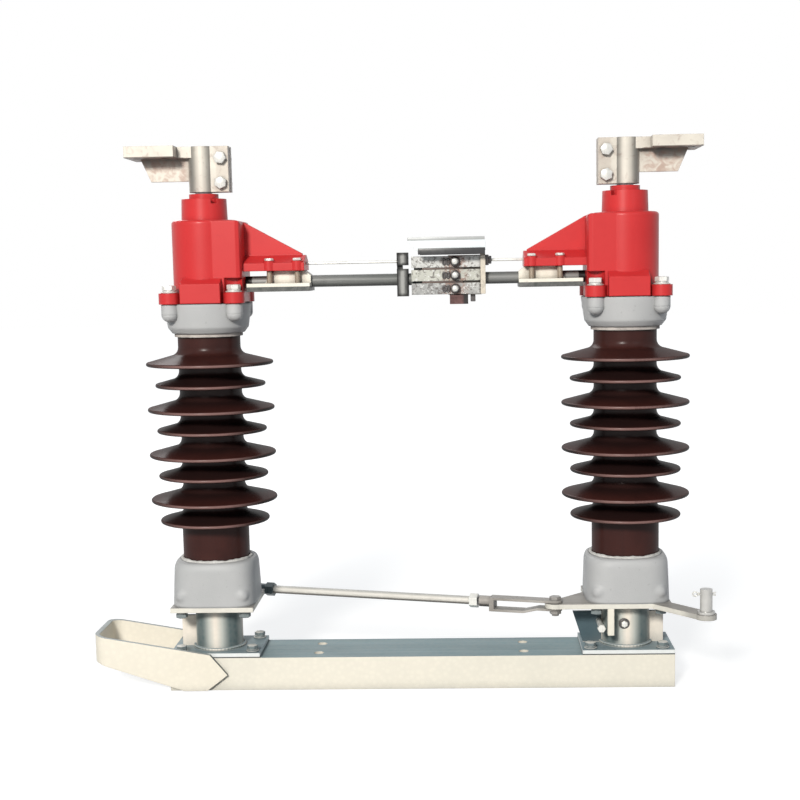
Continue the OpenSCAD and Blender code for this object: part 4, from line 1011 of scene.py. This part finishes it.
def cover_strips():
    """Black strip standing in for the shade under the lower edge of each skirt of the cover."""
    bm = bmesh.new()
    corner = high("rain_cover")
    foot = low("rain_cover").z
    length = 94
    from_end = 0.5
    for way in (-1, 1):
        x = corner.x - (from_end + length / 2) * MM
        centre = Vector((x, way * (corner.y + 0.8 * MM), foot - 0.4 * MM))
        block(bm, centre, size=(length, 1.8, 8.6), edge=0.6)
    finish_piece(bm, "cover_strips", "right_column", SHADE_STRIP)


def cover_lips():
    """Turned-up grey lip along each long edge of the cover."""
    bm = bmesh.new()
    start = low("rain_cover")
    end = high("rain_cover")
    for way in (-1, 1):
        centre = Vector(((start.x + end.x) / 2, way * (end.y - 1 * MM), end.z + 2.2 * MM))
        block(bm, centre, size=((end.x - start.x) / MM - 2, 2, 4.6), edge=0.7)
    finish_piece(bm, "cover_lips", "right_column", LIP)


def guard_nut():
    """Block and nut that hold the guard rod on the end plate."""
    bm = bmesh.new()
    block_t = 5
    block_w = 15
    block(bm, Vector((carrier_end + block_t / 2 * MM, 0, guard_axis)), (block_t, block_w, block_w), edge=1)
    nut = aim(Vector((carrier_end + block_t * MM, 0, guard_axis)), (1, 0, 0), 0.3)
    hexagon(bm, nut, radius=6, height=4)
    finish_piece(bm, "guard_nut", "right_column", DARK_STEEL)


def carrier_tab():
    """Small steel tab under the carrier, beside the brown block."""
    bm = bmesh.new()
    centre = Vector((carrier_end - 18 * MM, -6 * MM, carrier_bottom - 4 * MM))
    block(bm, centre, size=(7, 9, 12), edge=1)
    finish_piece(bm, "carrier_tab", "right_column", DARK_STEEL)


def lower_fitting(side):
    """Cast foot of a column: square at the lever, rounder at the top, with a soft knob over each bolt."""
    node = side + "_lower_fitting"
    bottom = low(node).z
    height = (fitting_rim - bottom) / MM
    foot_half = 60.5
    top_half = 59.3
    foot_power = 4.6  # the higher the power, the squarer the outline
    top_power = 3.0
    shoulder_h = 13
    shoulder_in = 5.5
    knob_at = Vector((45, 54, 17))
    knob_r = 7.5
    knob_out = 4.0
    wall = 0.5
    around = 160
    steps = 44
    bm = bmesh.new()
    rings = []
    for step in range(steps + 1):
        h = height * step / steps
        share = h / height
        power = foot_power + (top_power - foot_power) * share
        half = foot_half + (top_half - foot_half) * share
        over = max(0, h - height + shoulder_h) / shoulder_h
        half -= shoulder_in * (1 - math.sqrt(1 - over ** 2))
        ring = []
        for i in range(around):
            angle = TURN * i / around
            c = abs(math.cos(angle))
            s = abs(math.sin(angle))
            reach = half / (c ** power + s ** power) ** (1 / power)
            from_knob = (Vector((reach * c, reach * s, h)) - knob_at).length
            reach += knob_out * math.exp(-((from_knob / knob_r) ** 4))
            reach = max(reach, socket_r + wall)
            ring.append(bm.verts.new(round_column(side, angle, reach, bottom + h * MM)))
        rings.append(ring)
    for h in (height, height - socket_depth):
        ring = []
        for i in range(around):
            ring.append(bm.verts.new(round_column(side, TURN * i / around, socket_r, bottom + h * MM)))
        rings.append(ring)
    for a, b in zip(rings, rings[1:]):
        bridge(bm, a, b)
    bm.faces.new(rings[0])
    bm.faces.new(rings[-1])
    piece = finish_piece(bm, node + "_cast", side + "_column", GREY, 50)
    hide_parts(node)


def rim_bead(side):
    """Uneven bead of cement round the stem, on the lower fitting's rim."""
    bm = bmesh.new()
    count = 160
    bead_at = fitting_rim + 0.4 * MM
    bead_reach = stem_r + 1.6
    points = []
    radii = []
    for i in range(count):
        angle = TURN * i / count
        wave = 0.9 * math.sin(7 * angle) + 0.7 * math.sin(13 * angle + 1.1) + 0.5 * math.sin(29 * angle)
        points.append(round_column(side, angle, bead_reach, bead_at))
        radii.append((2.6 + 0.45 * wave) * MM)
    tube(bm, points, radii, 8, closed=True)
    finish_piece(bm, side + "_rim_bead", side + "_column", RIM_CEMENT, 60)


for side in SIDES:
    lower_fitting(side)
    rim_bead(side)
finger_springs()
spring_nuts()
spring_cups()
spring_clips()
finger_spacers()
cover_strips()
cover_lips()
guard_nut()
carrier_tab()
cotter_pin()
grease_plug()


# Floor, light and camera

def floor():
    """Pale ground that keeps the shadow and turns white further out."""
    mesh = bpy.data.meshes.new("floor")
    bm = bmesh.new()
    bmesh.ops.create_circle(bm, cap_ends=True, radius=14, segments=64)
    bm.to_mesh(mesh)
    bm.free()
    paint = Finish("floor", Roughness=0.9, Specular_IOR_Level=0.0)
    paint.shader.inputs["Base Color"].default_value = (0.4, 0.4, 0.4, 1)
    seen = seen_rays(paint.tree)
    glow = paint.add("ShaderNodeEmission", {"Color": (1, 1, 1, 1)})
    far = paint.add("ShaderNodeVectorMath", {0: paint.place}, operation="LENGTH").outputs["Value"]
    shadow_reach = 0.5
    white_from = 1.6
    strength = paint.spread(far, shadow_reach, white_from, 0.78, 1.0)
    paint.tree.links.new(paint.times(seen, strength), glow.inputs["Strength"])
    both = paint.add("ShaderNodeAddShader", {0: paint.shader.outputs[0], 1: glow.outputs[0]})
    output = paint.tree.nodes["Material Output"]
    paint.tree.links.new(both.outputs[0], output.inputs["Surface"])
    mesh.materials.append(paint.material)
    ground = bpy.data.objects.new("floor", mesh)
    bpy.context.scene.collection.objects.link(ground)
    ground.location.z = -0.5 * MM


def seen_rays(tree):
    """1 for the rays that show the background: camera, glossy and transmission."""
    path = tree.nodes.new("ShaderNodeLightPath").outputs
    seen = path["Is Camera Ray"]
    for ray in ("Is Glossy Ray", "Is Transmission Ray"):
        either = tree.nodes.new("ShaderNodeMath")
        either.operation = "MAXIMUM"
        tree.links.new(seen, either.inputs[0])
        tree.links.new(path[ray], either.inputs[1])
        seen = either.outputs[0]
    return seen


def world():
    """Dim cool sky for the light, white for the rays that show it."""
    sky = bpy.data.worlds.new("studio")
    sky.use_nodes = True
    tree = sky.node_tree
    mix = tree.nodes.new("ShaderNodeMix")
    mix.data_type = "RGBA"
    mix.inputs[6].default_value = (0.10, 0.13, 0.16, 1)
    mix.inputs[7].default_value = (1, 1, 1, 1)
    tree.links.new(seen_rays(tree), mix.inputs[0])
    tree.links.new(mix.outputs[2], tree.nodes["Background"].inputs["Color"])
    bpy.context.scene.world = sky


def area_light(name, place, size, watts, colour):
    """A round lamp that faces the middle of the switch."""
    target = Vector((0, 0, 0.4))
    lamp = bpy.data.lights.new(name, "AREA")
    lamp.shape = "DISK"
    lamp.size = size
    lamp.energy = watts
    lamp.color = colour
    lamp_object = bpy.data.objects.new(name, lamp)
    lamp_object.location = place
    lamp_object.rotation_euler = (target - Vector(place)).to_track_quat("-Z", "Y").to_euler()
    bpy.context.scene.collection.objects.link(lamp_object)


def camera():
    """Stands where the photograph was taken: the angles turn it left, down and a little over."""
    data = bpy.data.cameras.new("camera")
    data.lens = 63.5
    data.sensor_width = 36
    data.shift_x = -0.0175
    data.shift_y = 0.0538
    place = Vector((0.0729, -2.0363, 0.6095))
    yaw = math.radians(2.21)
    pitch = math.radians(-7.17)
    roll = math.radians(-1.09)
    right = Vector((math.cos(yaw), math.sin(yaw), 0))
    ahead = Vector((-math.sin(yaw) * math.cos(pitch), math.cos(yaw) * math.cos(pitch), math.sin(pitch)))
    upward = right.cross(ahead)
    right, upward = (
        math.cos(roll) * right + math.sin(roll) * upward,
        -math.sin(roll) * right + math.cos(roll) * upward,
    )
    turn = Matrix((right, upward, -ahead)).transposed().to_4x4()
    viewer = bpy.data.objects.new("camera", data)
    viewer.matrix_world = Matrix.Translation(place) @ turn
    bpy.context.scene.collection.objects.link(viewer)
    bpy.context.scene.camera = viewer


floor()
world()
area_light("key", (-1.2, -4.6, 2.5), size=0.9, watts=268, colour=(1.0, 0.97, 0.91))
area_light("fill", (1.8, -2.2, 1.6), size=1.5, watts=6, colour=(0.95, 0.98, 1.0))
area_light("back", (-1.2, 2.6, 2.2), size=1.5, watts=24, colour=(1.0, 1.0, 1.0))
camera()
bpy.context.scene.view_settings.view_transform = "Standard"
